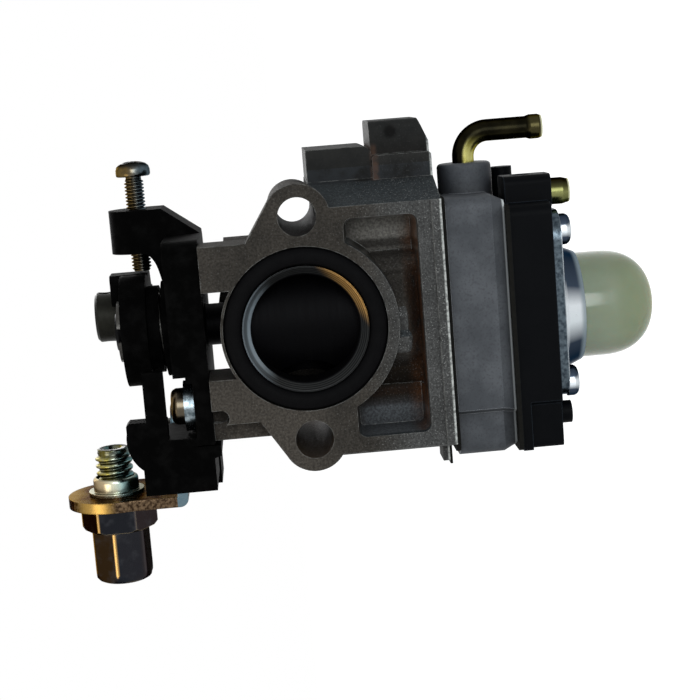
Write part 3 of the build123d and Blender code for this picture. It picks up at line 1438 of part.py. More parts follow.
# Primer bulb: a thin dome with a foot that the plate's cone holds down.
with BuildPart() as primer_bulb:
    dome_start = bulb_tip + bulb_radius
    with BuildSketch(front_plane(axis_y)):
        with BuildLine():
            Polyline(
                (stack_x + bulb_radius, dome_start),
                (stack_x + bulb_radius, purge_bottom - bulb_foot_height),
                (stack_x + bulb_foot_radius, purge_bottom - bulb_foot_height),
                (stack_x + bulb_foot_radius, purge_bottom),
                (stack_x + bulb_radius - bulb_wall, purge_bottom),
                (stack_x + bulb_radius - bulb_wall, dome_start),
            )
            inner = bulb_radius - bulb_wall
            RadiusArc((stack_x + inner, dome_start), (stack_x, dome_start - inner), inner)
            Line((stack_x, dome_start - inner), (stack_x, bulb_tip))
            RadiusArc((stack_x, bulb_tip), (stack_x + bulb_radius, dome_start), -bulb_radius)
        make_face()
    revolve(axis=Axis((stack_x, axis_y, 0), (0, 0, 1)))
finish(primer_bulb, "primer_bulb")

# Plated steel plate with the drawn cone that clamps the bulb's foot.
with BuildPart() as bulb_retainer:
    with BuildSketch(Plane.XY.offset(plate_bottom)):
        with Locations(((plate_low_side + plate_high_side) / 2, (plate_front + base_back) / 2)):
            RectangleRounded(plate_high_side - plate_low_side, base_back - plate_front, plate_corner)
    extrude(amount=plate_thickness)
    with BuildSketch(front_plane(axis_y)):
        with BuildLine():
            cone_end = plate_bottom - cone_height
            Polyline(
                (stack_x + bulb_radius + 0.1, cone_end),
                (stack_x + cone_top_radius, cone_end),
                (stack_x + cone_foot_radius - 0.3, plate_bottom - 0.9),
                (stack_x + cone_foot_radius + 0.5, plate_bottom),
                (stack_x + cone_foot_radius + 0.5, purge_bottom),
                (stack_x + bulb_radius + 0.1, purge_bottom),
                close=True,
            )
        make_face()
    revolve(axis=Axis((stack_x, axis_y, 0), (0, 0, 1)))
    with BuildSketch(front_plane(axis_y)):
        with BuildLine():
            Polyline(
                (stack_x, purge_bottom),
                (stack_x + bulb_foot_radius + 0.1, purge_bottom),
                (stack_x + bulb_foot_radius + 0.1, purge_bottom - bulb_foot_height - 0.1),
                (stack_x, purge_bottom - bulb_foot_height - 0.1),
                close=True,
            )
        make_face()
    revolve(axis=Axis((stack_x, axis_y, 0), (0, 0, 1)), mode=Mode.SUBTRACT)
    with BuildSketch(Plane.XY.offset(plate_bottom)):
        with Locations(stack_screws_xy):
            Circle(stack_screw_radius + screw_fit)
    extrude(amount=plate_thickness, mode=Mode.SUBTRACT)
finish(bulb_retainer, "bulb_retainer")

# Four long pan-head screws that clamp the whole stack to the casting.
with BuildPart() as stack_screws:
    screw_end = base_face + stack_thread_depth - 0.5
    for screw_xy in stack_screws_xy:
        with BuildSketch(Plane.XY.offset(plate_bottom)):
            with Locations(screw_xy):
                Circle(stack_screw_radius)
        extrude(amount=screw_end - plate_bottom)
        with BuildSketch(Plane.XY.offset(plate_bottom - stack_head_height)):
            with Locations(screw_xy):
                Circle(stack_head_radius)
        extrude(amount=stack_head_height)
    head_rims = stack_screws.edges().filter_by(GeomType.CIRCLE).group_by(Axis.Z)[0]
    fillet(head_rims, radius=0.8)
    for screw_xy in stack_screws_xy:
        head_plane = Plane(
            origin=(screw_xy[0], screw_xy[1], plate_bottom - stack_head_height),
            x_dir=(1, 0, 0),
            z_dir=(0, 0, -1),
        )
        stack_slots = crossed_slots(head_plane, 1.3 * stack_head_radius)
        extrude(stack_slots, amount=-drive_recess_depth, mode=Mode.SUBTRACT)
finish(stack_screws, "stack_screws")
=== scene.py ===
from math import cos, pi, radians, sin

import bmesh
import bpy
from mathutils import Matrix, Vector


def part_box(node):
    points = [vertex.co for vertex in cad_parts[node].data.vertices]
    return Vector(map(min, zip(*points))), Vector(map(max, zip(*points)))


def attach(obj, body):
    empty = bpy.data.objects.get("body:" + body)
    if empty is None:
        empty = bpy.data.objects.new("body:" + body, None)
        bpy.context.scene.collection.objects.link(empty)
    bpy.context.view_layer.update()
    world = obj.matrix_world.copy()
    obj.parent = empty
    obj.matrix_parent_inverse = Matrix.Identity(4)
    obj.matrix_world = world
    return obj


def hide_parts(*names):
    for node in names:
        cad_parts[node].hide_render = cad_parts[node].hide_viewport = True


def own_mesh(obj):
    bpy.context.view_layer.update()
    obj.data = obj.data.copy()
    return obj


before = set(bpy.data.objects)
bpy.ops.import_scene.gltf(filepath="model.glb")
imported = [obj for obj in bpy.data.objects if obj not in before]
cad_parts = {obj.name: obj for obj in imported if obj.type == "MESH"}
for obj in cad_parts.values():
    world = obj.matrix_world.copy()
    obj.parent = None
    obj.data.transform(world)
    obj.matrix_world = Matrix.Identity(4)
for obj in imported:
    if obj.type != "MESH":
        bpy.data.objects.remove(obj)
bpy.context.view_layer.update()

# Studio. The carburetor is held by its flange, as on its engine, so the pale floor lies well
# below the primer bulb. Soft boxes stand in front on the bulb's side, in front on the lever's
# side, and behind.
mm = 0.001
look_down, look_aside, lean = radians(9.0), radians(2.7), radians(4.5)
sight = Vector((-sin(look_down), cos(look_down) * cos(look_aside), -cos(look_down) * sin(look_aside)))
sight.normalize()
level_up = (Vector((1, 0, 0)) - sight * sight.x).normalized()
level_right = sight.cross(level_up)
view_right = cos(lean) * level_right - sin(lean) * level_up
view_up = sin(lean) * level_right + cos(lean) * level_up
camera_data = bpy.data.cameras.new("camera")
camera_data.lens = 84.86
camera_data.sensor_width = 36
camera_data.clip_start = 0.01
camera = bpy.data.objects.new("camera", camera_data)
bpy.context.scene.collection.objects.link(camera)
turn = Matrix((view_right, view_up, -sight)).transposed().to_4x4()
camera.matrix_world = Matrix.Translation(Vector((32.21, -224.49, 4.77)) * mm) @ turn
bpy.context.scene.camera = camera
bpy.context.scene.view_settings.view_transform = "Standard"


class Reading:
    """A value that varies over a surface, with the arithmetic of its finish."""

    def __init__(self, finish, socket):
        self.finish = finish
        self.socket = socket

    def math(self, operation, other=0.0):
        return self.finish.node("Math", {"operation": operation}, {0: self, 1: other})

    def __add__(self, other):
        return self.math("ADD", other)

    def __sub__(self, other):
        return self.math("SUBTRACT", other)

    def __rsub__(self, other):
        return self.finish.node("Math", {"operation": "SUBTRACT"}, {0: other, 1: self})

    def __mul__(self, other):
        return self.math("MULTIPLY", other)

    def __pow__(self, other):
        return self.math("POWER", other)

    def __neg__(self):
        return self.math("MULTIPLY", -1.0)

    __radd__ = __add__
    __rmul__ = __mul__

    def above(self, level):
        return self.math("GREATER_THAN", level)

    def below(self, level):
        return self.math("LESS_THAN", level)

    def near(self, place, reach):
        """1 at this value, fading to 0 this far from it on either side."""
        away = (self - place).math("ABSOLUTE")
        return 1.0 - away.ease(reach * 0.25, reach)

    def ease(self, low, high):
        """0 below low, 1 above high, and smooth between them."""
        return self.finish.node(
            "MapRange",
            {"interpolation_type": "SMOOTHSTEP", "clamp": True},
            {"Value": self, "From Min": low, "From Max": high, "To Min": 0.0, "To Max": 1.0},
        )


class Nodes:
    """The shader nodes of a finish, or of the studio's world."""

    def __init__(self, tree):
        self.nodes = tree.nodes
        self.links = tree.links

    def node(self, kind, settings=None, inputs=None, output=0):
        """Any node, by its type, its settings and what its sockets take."""
        made = self.nodes.new("ShaderNode" + kind)
        for setting, value in (settings or {}).items():
            if setting == "stops":
                ramp = made.color_ramp.elements
                while len(ramp) < len(value):
                    ramp.new(1.0)
                for stop, (position, colour) in zip(ramp, value):
                    stop.position = position
                    stop.color = (*colour, 1.0)
            else:
                setattr(made, setting, value)
        for socket, value in (inputs or {}).items():
            self.feed(made.inputs[socket], value)
        return Reading(self, made.outputs[output])

    def feed(self, socket, value):
        if isinstance(value, Reading):
            self.links.new(value.socket, socket)
        elif socket.type == "RGBA" and len(value) == 3:
            socket.default_value = (*value, 1.0)
        else:
            socket.default_value = value

    def looked_at(self):
        """1 where it is looked at, straight, in a mirror or through glass, and 0 for its light."""
        camera_ray, glossy_ray, clear_ray = (
            self.node("LightPath", output=f"Is {ray} Ray") for ray in ("Camera", "Glossy", "Transmission")
        )
        return camera_ray.math("MAXIMUM", glossy_ray.math("MAXIMUM", clear_ray))


class Finish(Nodes):
    """A surface finish: one material, its shader and what varies over the surface."""

    def __init__(self, name, **fixed):
        self.material = bpy.data.materials.new(name)
        self.material.use_nodes = True
        super().__init__(self.material.node_tree)
        self.shader = self.nodes["Principled BSDF"]
        for socket, value in fixed.items():
            self.shader.inputs[socket.replace("_", " ")].default_value = value
        self.place = self.node("TexCoord", output="Object")

    def grain(self, size, detail=3.0, stretch=(1, 1, 1)):
        """Noise whose grains are about this many millimetres across."""
        place = self.node("Mapping", {"vector_type": "POINT"}, {"Vector": self.place, "Scale": stretch})
        per_metre = 1.0 / mm / size
        return self.node(
            "TexNoise", {}, {"Vector": place, "Scale": per_metre, "Detail": detail, "Roughness": 0.6}
        )

    def mix(self, factor, first, second):
        return self.node("Mix", {"data_type": "RGBA"}, {0: factor, 6: first, 7: second}, output=2)

    def ramp(self, value, *stops):
        """A colour that follows a value through these (value, colour) stops."""
        low, high = stops[0][0], stops[-1][0]
        even = [((place - low) / (high - low), colour) for place, colour in stops]
        reach = (value - low) * (1.0 / (high - low))
        return self.node("ValToRGB", {"stops": even}, {"Fac": reach}, output="Color")

    def along(self, axis):
        """The place on the surface along X, Y or Z, in millimetres."""
        return self.node("SeparateXYZ", {}, {0: self.place}, output=axis) * (1.0 / mm)

    def facing(self, axis):
        """How far the surface faces X, Y or Z, from -1 to 1."""
        outward = self.node("NewGeometry", output="Normal")
        return self.node("SeparateXYZ", {}, {0: outward}, output=axis)

    def from_axis(self, first, second, centre):
        """Distance in millimetres from a line through this centre, across two axes."""
        one = self.along(first) - centre[0]
        two = self.along(second) - centre[1]
        return (one * one + two * two) ** 0.5

    def set(self, socket, value):
        self.feed(self.shader.inputs[socket], value)

    def bump(self, height, depth, strength=1.0, edge=0.0):
        """Raise the surface by height times depth millimetres, and soften its edges by this radius."""
        inputs = {"Strength": strength, "Distance": depth * mm, "Height": height}
        if edge:
            inputs["Normal"] = self.node("Bevel", {"samples": 4}, {"Radius": edge * mm})
        self.set("Normal", self.node("Bump", {}, inputs, output="Normal"))

    def edges(self, radius):
        """1 at the edges of the piece, fading to 0 about this many millimetres away."""
        softened = self.node("Bevel", {"samples": 6}, {"Radius": radius * mm})
        straight = self.node("NewGeometry", output="Normal")
        both = {0: softened, 1: straight}
        agree = self.node("VectorMath", {"operation": "DOT_PRODUCT"}, both, output="Value")
        return (1.0 - agree).ease(0.01, 0.20)


def new_piece(name, points, faces, smooth=False):
    """A mesh over points in millimetres, with its four-sided faces smooth where asked."""
    mesh = bpy.data.meshes.new(name)
    mesh.from_pydata([Vector(point) * mm for point in points], [], faces)
    mesh.validate()
    if smooth:
        mesh.polygons.foreach_set("use_smooth", [len(face) == 4 for face in faces])
    piece = bpy.data.objects.new(name, mesh)
    bpy.context.scene.collection.objects.link(piece)
    return piece


floor_reach = 15000.0
floor_corners = [(x * floor_reach, y * floor_reach, 0) for x, y in ((-1, -1), (1, -1), (1, 1), (-1, 1))]
studio_floor = new_piece("studio_floor", floor_corners, [(0, 1, 2, 3)])
studio_floor.location.z = -0.16
floor_paint = Finish("studio_floor", Roughness=0.9, Specular_IOR_Level=0.05, Emission_Strength=1.0)
pale_grey = floor_paint.mix(floor_paint.grain(60.0), (0.80, 0.80, 0.79), (0.82, 0.82, 0.81))
floor_paint.set("Base Color", pale_grey)
unlit = (0.0, 0.0, 0.0)
past_the_lamps = floor_paint.from_axis(0, 1, (0.0, 0.0)).ease(120.0, 480.0)
glow = floor_paint.mix(past_the_lamps, unlit, (0.58, 0.58, 0.58))
floor_paint.set("Emission Color", floor_paint.mix(floor_paint.looked_at(), unlit, glow))
studio_floor.data.materials.append(floor_paint.material)

world = bpy.data.worlds.new("studio")
world.use_nodes = True
bpy.context.scene.world = world
sky = Nodes(world.node_tree)
fill = sky.node("Background", {}, {"Color": (0.96, 0.98, 1.0), "Strength": 0.6})
backdrop = sky.node("Background", {}, {"Color": (1.0, 1.0, 1.0), "Strength": 1.0})
around = sky.node("MixShader", {}, {0: sky.looked_at(), 1: fill, 2: backdrop})
sky.feed(sky.nodes["World Output"].inputs["Surface"], around)


def soft_box(name, place, aim, size, power, colour):
    """A square lamp that points from one place to another."""
    data = bpy.data.lights.new(name, "AREA")
    data.size = size
    data.energy = power
    data.color = colour
    lamp = bpy.data.objects.new(name, data)
    lamp.location = place
    lamp.rotation_euler = (Vector(aim) - Vector(place)).to_track_quat("-Z", "Y").to_euler()
    bpy.context.scene.collection.objects.link(lamp)


soft_box("bulb_side", (0.14, -0.46, -0.02), (0, 0.01, -0.01), 0.24, 1.25, (0.95, 0.98, 1.0))
soft_box("lever_side", (-0.22, -0.34, 0.36), (0, 0.01, 0.0), 0.26, 0.65, (1.0, 0.93, 0.82))
soft_box("behind", (0.15, 0.55, 0.30), (0, 0.01, 0.0), 0.45, 2.6, (1.0, 1.0, 1.0))


# Body: a pressure die casting in aluminium, grainy from its die, with painted warm reflections in brown on the
# pocket's outer wall and the tower's edge. The throat, its chamfer and the holes are machined; the tower of
# drilled passages above the pump face is smoother and darker.
def srgb(red, green, blue):
    """A colour given as red, green and blue from 0 to 255, as the shader takes it."""
    def linear(value):
        value /= 255
        return value / 12.92 if value <= 0.04045 else ((value + 0.055) / 1.055) ** 2.4
    return (linear(red), linear(green), linear(blue))


def box_of(node):
    """A node's lowest corner, highest corner and middle at rest, in millimetres."""
    low, high = (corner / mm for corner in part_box(node))
    return low, high, (low + high) / 2


def dress(node, finish):
    """Give a solid of the frame this finish in all its material slots."""
    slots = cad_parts[node].data.materials
    if not slots:
        slots.append(finish.material)
    for number in range(len(slots)):
        slots[number] = finish.material


casting = Finish("body_casting", Specular_IOR_Level=0.03, Specular_Tint=(0.4, 0.4, 0.4, 1.0))
height = casting.along(0)
under = -height
depth = casting.along(1)
to_lever = casting.along(2)
to_bulb = -to_lever
patch = casting.grain(5.0, 4.0)
mottle = patch.ease(0.3, 0.7)

# The flange face, warm by the lever and cool by the bulb, and the slope above the pocket.
warm_skin = casting.mix(mottle, srgb(48, 46, 43), srgb(60, 57, 53))
low_lobe = under.ease(-2.0, 12.0) * to_lever.ease(-4.0, 2.0)
warm_skin = casting.mix(low_lobe * 0.7, warm_skin, srgb(72, 68, 63))
cool_skin = casting.mix(mottle, srgb(62, 63, 63), srgb(76, 77, 77))
skin = casting.mix(to_bulb.ease(7.0, 15.0), warm_skin, cool_skin)
slope = casting.facing(0).above(0.3) * depth.below(9.6) * to_bulb.above(2.0)
skin = casting.mix(slope, skin, casting.mix(patch, srgb(40, 45, 48), srgb(62, 66, 68)))

# The tower, a little paler low down, with painted shade where it faces the lever.
behind_flange = depth.above(8.1)
tower = height.ease(16.5, 17.6) * behind_flange * to_bulb.above(1.8)
tower_skin = casting.mix(mottle, srgb(30, 31, 31), srgb(42, 42, 41))
tower_band = height.below(21.2) * behind_flange * patch.ease(0.35, 0.55)
tower_skin = casting.mix(tower_band * 0.6, tower_skin, srgb(46, 50, 54))
# Painted shade on the tower's faces toward the lever.
tower_skin = casting.mix(casting.facing(2).ease(0.25, 0.6) * 0.85, tower_skin, srgb(10, 10, 10))
skin = casting.mix(tower, skin, tower_skin)

# The cored pocket: a light panel at each end and the passages between them, with painted shade in its hollows
# and along a ledge, a painted highlight on its lowest wall and a painted warm reflection on its outer wall.
pocket = depth.above(0.9) * depth.below(9.0) * to_bulb.ease(6.0, 8.0) * to_lever.above(-16.9)
pocket = pocket * height.above(-16.2) * height.below(14.9)
passages = height.ease(-6.6, -5.6) * (1.0 - height.ease(9.2, 10.0))
high_panel = casting.mix(patch, srgb(90, 88, 84), srgb(126, 124, 119))
# The low panel is dark brown at its top and pales to bluish grey where the lowest wall faces up; that paler
# part is a painted highlight.
low_panel = casting.mix(under.ease(10.8, 13.6), srgb(32, 27, 22), srgb(66, 68, 71))
panel = casting.mix(height.below(0.0), high_panel, low_panel)
skin = casting.mix(pocket, skin, casting.mix(passages, panel, srgb(52, 50, 47)))
# Painted shade in bands across the pocket, in its hollows.
hollow_shade = height.near(10.5, 1.1) * 0.8 + height.near(-6.1, 0.9) * 0.8
hollow_shade = hollow_shade + height.near(4.0, 2.6) * 0.35 + height.near(-8.7, 2.0) * 0.5
skin = casting.mix(pocket * hollow_shade, skin, srgb(22, 20, 18))
# Painted shade along the ledge above the lowest panel.
ledge_shade = under.ease(9.6, 10.3) * (1.0 - under.ease(10.9, 11.4))
skin = casting.mix(pocket * ledge_shade * 0.7, skin, srgb(40, 30, 24))
# Painted highlight on the pocket's lowest wall, which faces up.
skin = casting.mix(pocket * under.ease(12.3, 12.9) * 0.5, skin, srgb(88, 93, 97))
# Painted warm reflection, brown, on the pocket's outer wall by the bulb.
warm_wall_reflection = casting.grain(2.5, 3.0).ease(0.25, 0.65) * to_bulb.ease(13.6, 16.4)
skin = casting.mix(pocket * warm_wall_reflection * 0.75, skin, srgb(92, 58, 34))

# The casting's grain: painted shade in its corners, pits, bright flecks painted as glints, rubbed edges, a
# painted warm highlight on the tower's edge and the painted shade of a staked dimple.
# Painted shade in the casting's corners, darker the more closed in a place is.
corners = casting.node("AmbientOcclusion", {"samples": 8}, {"Distance": 0.0032}, output="AO")
skin = casting.mix((1.0 - corners) * 0.7, skin, srgb(20, 16, 13))
tone = casting.grain(0.34, 2.0).ease(0.34, 0.66)
grainy = 1.0 - tower * 0.9
skin = casting.mix((1.0 - tone) * 0.5 * grainy, skin, srgb(16, 15, 14))
# Bright flecks of the grain painted as glints, stronger toward the bulb's side.
fleck_glint = casting.grain(0.22, 1.0).ease(0.62, 0.72) * grainy * (1.0 - pocket * 0.7)
skin = casting.mix(fleck_glint * (0.08 + to_bulb.ease(4.0, 14.0) * 0.24), skin, srgb(172, 174, 173))
scuff = casting.grain(1.2, 3.0)
worn = casting.edges(0.25) * scuff.ease(0.35, 0.6)
skin = casting.mix(worn * (0.5 + pocket * 0.3), skin, srgb(140, 142, 140))
body_low = box_of("carburetor_body")[0]
joint_edge = (1.0 - (to_lever - body_low.z).ease(0.15, 0.4)) * casting.facing(1).below(-0.5)
edge_grain = casting.grain(0.5, 2.0).ease(0.35, 0.6)
skin = casting.mix(joint_edge * (0.3 + edge_grain * 0.6), skin, srgb(176, 180, 178))
# Painted warm highlight, rust brown, along the tower's edge on the lever's side.
warm_edge_glint = tower * to_lever.near(-11.7, 0.8) * (1.0 - height.ease(23.4, 24.4)) * scuff.ease(0.3, 0.6)
skin = casting.mix(warm_edge_glint * 0.45, skin, srgb(88, 66, 54))
# Painted shade of a small staked dimple near the tower's top.
dimple_shade = 1.0 - casting.from_axis(0, 2, (25.7, -14.4)).ease(0.5, 1.3)
skin = casting.mix(dimple_shade * tower * 0.75, skin, srgb(10, 10, 10))

# The throat, with the turned chamfer at its mouth and painted glints on it, and the bolt holes; the bore and
# the holes are painted dark with shade.
from_throat = casting.from_axis(0, 2, (0.0, 0.0))
shaded_bore = from_throat.below(7.62) * depth.above(0.9)
chamfer = from_throat.below(8.78) * depth.below(1.3) * (1.0 - shaded_bore)
turned_rings = (from_throat * 26.0).math("SINE") * 0.5 + 0.5
lip = casting.mix(turned_rings, srgb(18, 19, 20), srgb(50, 51, 51))
inner_lip = 1.0 - from_throat.ease(7.9, 8.25)
# Painted glints on the chamfer: a cool one on the lever's side and a gold one toward the top on the bulb's
# side.
blue_lip_glint = (to_lever * 0.125).ease(0.5, 0.98) * (0.25 + inner_lip * 0.75)
gold_lip_glint = (height * 0.075 - to_lever * 0.098).ease(0.80, 1.02) * (0.15 + turned_rings * 0.75)
lip = casting.mix(blue_lip_glint * 0.9, lip, srgb(148, 162, 172))
lip = casting.mix(gold_lip_glint * 0.95, lip, srgb(196, 150, 84))
skin = casting.mix(chamfer, skin, lip)
# The bore is painted nearly black with the shade inside the throat.
skin = casting.mix(shaded_bore, skin, srgb(5, 5, 6))
bolt_reach, bolt_hole_radius = 15.5, 2.95
high_hole_shade, low_hole_shade = (
    casting.from_axis(0, 2, (place, 0.0)).below(bolt_hole_radius) * depth.above(0.05)
    for place in (bolt_reach, -bolt_reach)
)
# Painted shade inside the bolt holes, brownish in the lower one.
skin = casting.mix(high_hole_shade, skin, srgb(22, 19, 17))
skin = casting.mix(low_hole_shade, skin, casting.mix(patch, srgb(36, 27, 20), srgb(62, 54, 46)))
casting.set("Base Color", skin)
metal = (chamfer * 0.6 + 0.2) * (1.0 - shaded_bore) * (1.0 - tower * 0.8)
casting.set("Metallic", metal * (1.0 - high_hole_shade) * (1.0 - low_hole_shade))
casting.set("Roughness", 0.58 + tone * 0.12 - chamfer * 0.30 - tower * 0.08)
casting.bump(casting.grain(0.4, 3.0) * (1.0 - chamfer) * (1.0 - shaded_bore) * grainy, 0.12, edge=0.22)
dress("carburetor_body", casting)


# Fuel passage walls: cored with the body, two smooth swells of metal that run from the throat's
# rim to the pocket's outer wall, over the passages that are drilled through them.
def eased(value, low, high):
    share = min(1.0, max(0.0, (value - low) / (high - low)))
    return share * share * (3 - 2 * share)


def swell(place, middle, reach):
    return 1.0 - eased(abs(place - middle), 0.35 * reach, reach)


wall_low, wall_length, wall_outer = -9.95, 19.5, 16.42
wall_front, wall_foot, wall_ends = 0.25, 3.9, 5.6
barrel_axis, barrel_wall, rim_radius = 13.5, 12.4, 12.55
wall_rows, wall_columns = 79, 19
wall_points, wall_faces = [], []
for row in range(wall_rows):
    along_x = wall_low + wall_length * row / (wall_rows - 1)
    barrel_front = barrel_axis - (barrel_wall ** 2 - along_x ** 2) ** 0.5 - 0.35
    rim = (rim_radius ** 2 - along_x ** 2) ** 0.5
    for column in range(wall_columns):
        across_z = -rim + 0.3 + (rim - 0.3 - wall_outer) * column / (wall_columns - 1)
        foot = eased(-across_z, 13.95, 16.3)
        place_y = barrel_front * (1 - foot) + max(wall_foot, barrel_front) * foot
        place_y -= 0.95 * swell(along_x, 7.9, 1.9) * (1 - 0.3 * foot) + 0.8 * swell(along_x, -3.4, 2.3)
        place_y += 0.25 * swell(along_x, -5.7, 0.7) * foot
        if along_x < -9.4 or along_x > 9.2:
            place_y = wall_ends
        wall_points.append((along_x, max(place_y, wall_front), across_z))
for low in range(0, (wall_rows - 1) * wall_columns, wall_columns):
    for number in range(low, low + wall_columns - 1):
        wall_faces.append((number, number + 1, number + wall_columns + 1, number + wall_columns))
passage_walls = new_piece("passage_walls", wall_points, wall_faces, smooth=True)
passage_walls.data.materials.append(casting.material)
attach(passage_walls, "carburetor")


# Passage plug: a steel ball driven into the end of a drilled fuel passage, then staked round
# its edge.
def even_finish(name, cloud, dark, light, rough, rough_cloud, rough_share, **fixed):
    """A finish of one cloudy colour for a small piece, with its clouds' sizes in millimetres."""
    finish = Finish(name, **fixed)
    finish.set("Base Color", finish.mix(finish.grain(cloud), srgb(*dark), srgb(*light)))
    finish.set("Roughness", rough + finish.grain(rough_cloud) * rough_share)
    return finish


plug_steel = even_finish("plug_steel", 0.5, (34, 33, 31), (56, 55, 52), 0.35, 0.4, 0.2, Metallic=1.0)
dress("passage_plug", plug_steel)

# Flange seal: a moulded ring of fuel-proof rubber in the flange's groove, standing a little
# proud of the face so that the air cleaner squeezes it.
seal_rubber = even_finish("seal_rubber", 1.5, (6, 6, 7), (12, 12, 13), 0.5, 0.8, 0.2, Specular_IOR_Level=0.02)
seal_rubber.bump(seal_rubber.grain(0.25), 0.015, 0.5)
dress("flange_seal", seal_rubber)

# Barrel: turned from aluminium and painted nearly black with the shade inside the throat, with fine rings from
# the tool round its axis. Its cap, pressed into the body, and the thrust washer round its shaft are steel.
barrel_metal = Finish("barrel_metal", Specular_IOR_Level=0.03)
barrel_rings = barrel_metal.grain(0.3, 2.0, stretch=(0.02, 0.02, 1.0))
barrel_metal.set("Base Color", barrel_metal.mix(barrel_rings, srgb(2, 2, 3), srgb(6, 6, 7)))
barrel_metal.set("Metallic", 0.2 + barrel_rings * 0.2)
barrel_metal.set("Roughness", 0.35 + barrel_rings * 0.25)
barrel_metal.bump(barrel_rings, 0.01, 0.4)
dress("throttle_barrel", barrel_metal)
for node in ("barrel_cap", "thrust_washer"):
    dress(node, plug_steel)

# Nozzle and needle: the nozzle is turned brass, pressed into the floor of the bore, and the
# needle is ground steel with a slotted head that sets the mixture from the top of the shaft.
turned_brass = even_finish("turned_brass", 0.8, (120, 96, 46), (156, 132, 74), 0.25, 0.5, 0.15, Metallic=1.0)
dress("fuel_nozzle", turned_brass)
ground_steel = even_finish("ground_steel", 0.7, (84, 83, 80), (112, 111, 108), 0.22, 0.4, 0.15, Metallic=1.0)
dress("fuel_needle", ground_steel)

# Throttle cover and lever: moulded in black glass-filled nylon, matte where the mould was etched,
# with greyed edges where tools and hands have rubbed them. The lever is pressed on the shaft.
black_nylon = Finish("black_nylon", Specular_IOR_Level=0.005)
nylon_skin = black_nylon.mix(black_nylon.grain(2.2, 4.0).ease(0.4, 0.7), srgb(3, 3, 3), srgb(8, 8, 8))
rubbed = black_nylon.edges(0.25) * black_nylon.grain(1.5, 3.0).ease(0.4, 0.7)
black_nylon.set("Base Color", black_nylon.mix(rubbed * 0.4, nylon_skin, srgb(26, 25, 24)))
black_nylon.set("Roughness", 0.42 + black_nylon.grain(1.0) * 0.2)
black_nylon.bump(black_nylon.grain(0.22, 3.0), 0.03, 0.5, edge=0.2)
for node in ("throttle_cover", "throttle_lever"):
    dress(node, black_nylon)

# Cover screws and washers: two pan-head machine screws on plain washers hold the cover to the body's arms. They
# are steel, zinc plated and passivated; their colour turns from straw yellow on the lever's side to blue on the
# bulb's side as painted warm and cool reflections.
screw_zinc = Finish("zinc_plate", Metallic=1.0, Specular_Tint=(0.35, 0.33, 0.3, 1.0))
plating_and_sheen = screw_zinc.mix(screw_zinc.facing(2).ease(-0.7, 0.5), srgb(66, 80, 88), srgb(98, 80, 50))
plating_and_sheen = screw_zinc.mix(screw_zinc.grain(1.8, 4.0).ease(0.35, 0.75) * 0.6, plating_and_sheen, srgb(66, 63, 56))
plating_and_sheen = screw_zinc.mix(screw_zinc.edges(0.22) * 0.8, plating_and_sheen, srgb(170, 166, 144))
screw_zinc.set("Base Color", plating_and_sheen)
screw_zinc.set("Roughness", 0.18 + screw_zinc.grain(0.9, 4.0) * 0.14)
screw_zinc.bump(screw_zinc.grain(0.5, 3.0), 0.012, 0.4, edge=0.15)
dress("cover_screws", screw_zinc)
washer_zinc = Finish("washer_zinc", Metallic=1.0, Specular_Tint=(0.35, 0.36, 0.38, 1.0))
washer_wear = washer_zinc.grain(1.0, 3.0).ease(0.3, 0.7)
washer_zinc.set("Base Color", washer_zinc.mix(washer_wear, srgb(72, 84, 90), srgb(150, 162, 168)))
washer_zinc.set("Roughness", 0.2 + washer_zinc.grain(0.7) * 0.12)
dress("cover_washers", washer_zinc)

# Cable bracket: blanked from steel strip and bent, then plated. Its round end has come out gold
# and its cut edge brown, and one screw holds its foot to the cover's corner.
bracket_zinc = Finish("bracket_zinc", Metallic=1.0, Specular_Tint=(0.25, 0.25, 0.25, 1.0))
along_bracket = bracket_zinc.along(2)
face_film = bracket_zinc.mix(bracket_zinc.grain(2.5, 3.0).ease(0.3, 0.7), srgb(78, 66, 50), srgb(112, 98, 78))
face_film = bracket_zinc.mix(along_bracket.ease(34.0, 37.6) * 0.7, face_film, srgb(146, 124, 90))
rim_film = bracket_zinc.mix(bracket_zinc.grain(0.5, 3.0).ease(0.35, 0.65), srgb(46, 34, 24), srgb(104, 86, 66))
gold_rim = 1.0 - (along_bracket - 33.2).math("ABSOLUTE").ease(1.2, 3.4)
rim_film = bracket_zinc.mix(gold_rim * 0.85, rim_film, srgb(170, 136, 70))
foot_end = along_bracket.below(20.9) * bracket_zinc.along(1).below(17.7)
rim_film = bracket_zinc.mix(foot_end * 0.8, rim_film, srgb(96, 122, 134))
flat_face = bracket_zinc.facing(0).math("ABSOLUTE").ease(0.5, 0.8)
bracket_zinc.set("Base Color", bracket_zinc.mix(flat_face, rim_film, face_film))
bracket_zinc.set("Roughness", 0.2 + bracket_zinc.grain(0.9, 4.0) * 0.14)
bracket_zinc.bump(bracket_zinc.grain(0.5, 3.0), 0.015, 0.5, edge=0.3)
dress("cable_bracket", bracket_zinc)
dress("bracket_screw", plug_steel)


# Return spring: music wire wound round the lever's core, in the cover's well; its coils show
# between the cover and the lever. The shaft's ring and the swivel's clip are of like steel.
def ring_faces(low, high, sides):
    """The faces between two rings of points, whose first points have these numbers."""
    afters = [(number + 1) % sides for number in range(sides)]
    return [(low + number, low + after, high + after, high + number) for number, after in enumerate(afters)]


def tube_faces(rings, sides):
    """The faces of a tube of this many rings, closed at both ends."""
    faces = []
    for ring in range(rings - 1):
        faces += ring_faces(ring * sides, (ring + 1) * sides, sides)
    return faces + [tuple(range(sides))[::-1], tuple(range((rings - 1) * sides, rings * sides))]


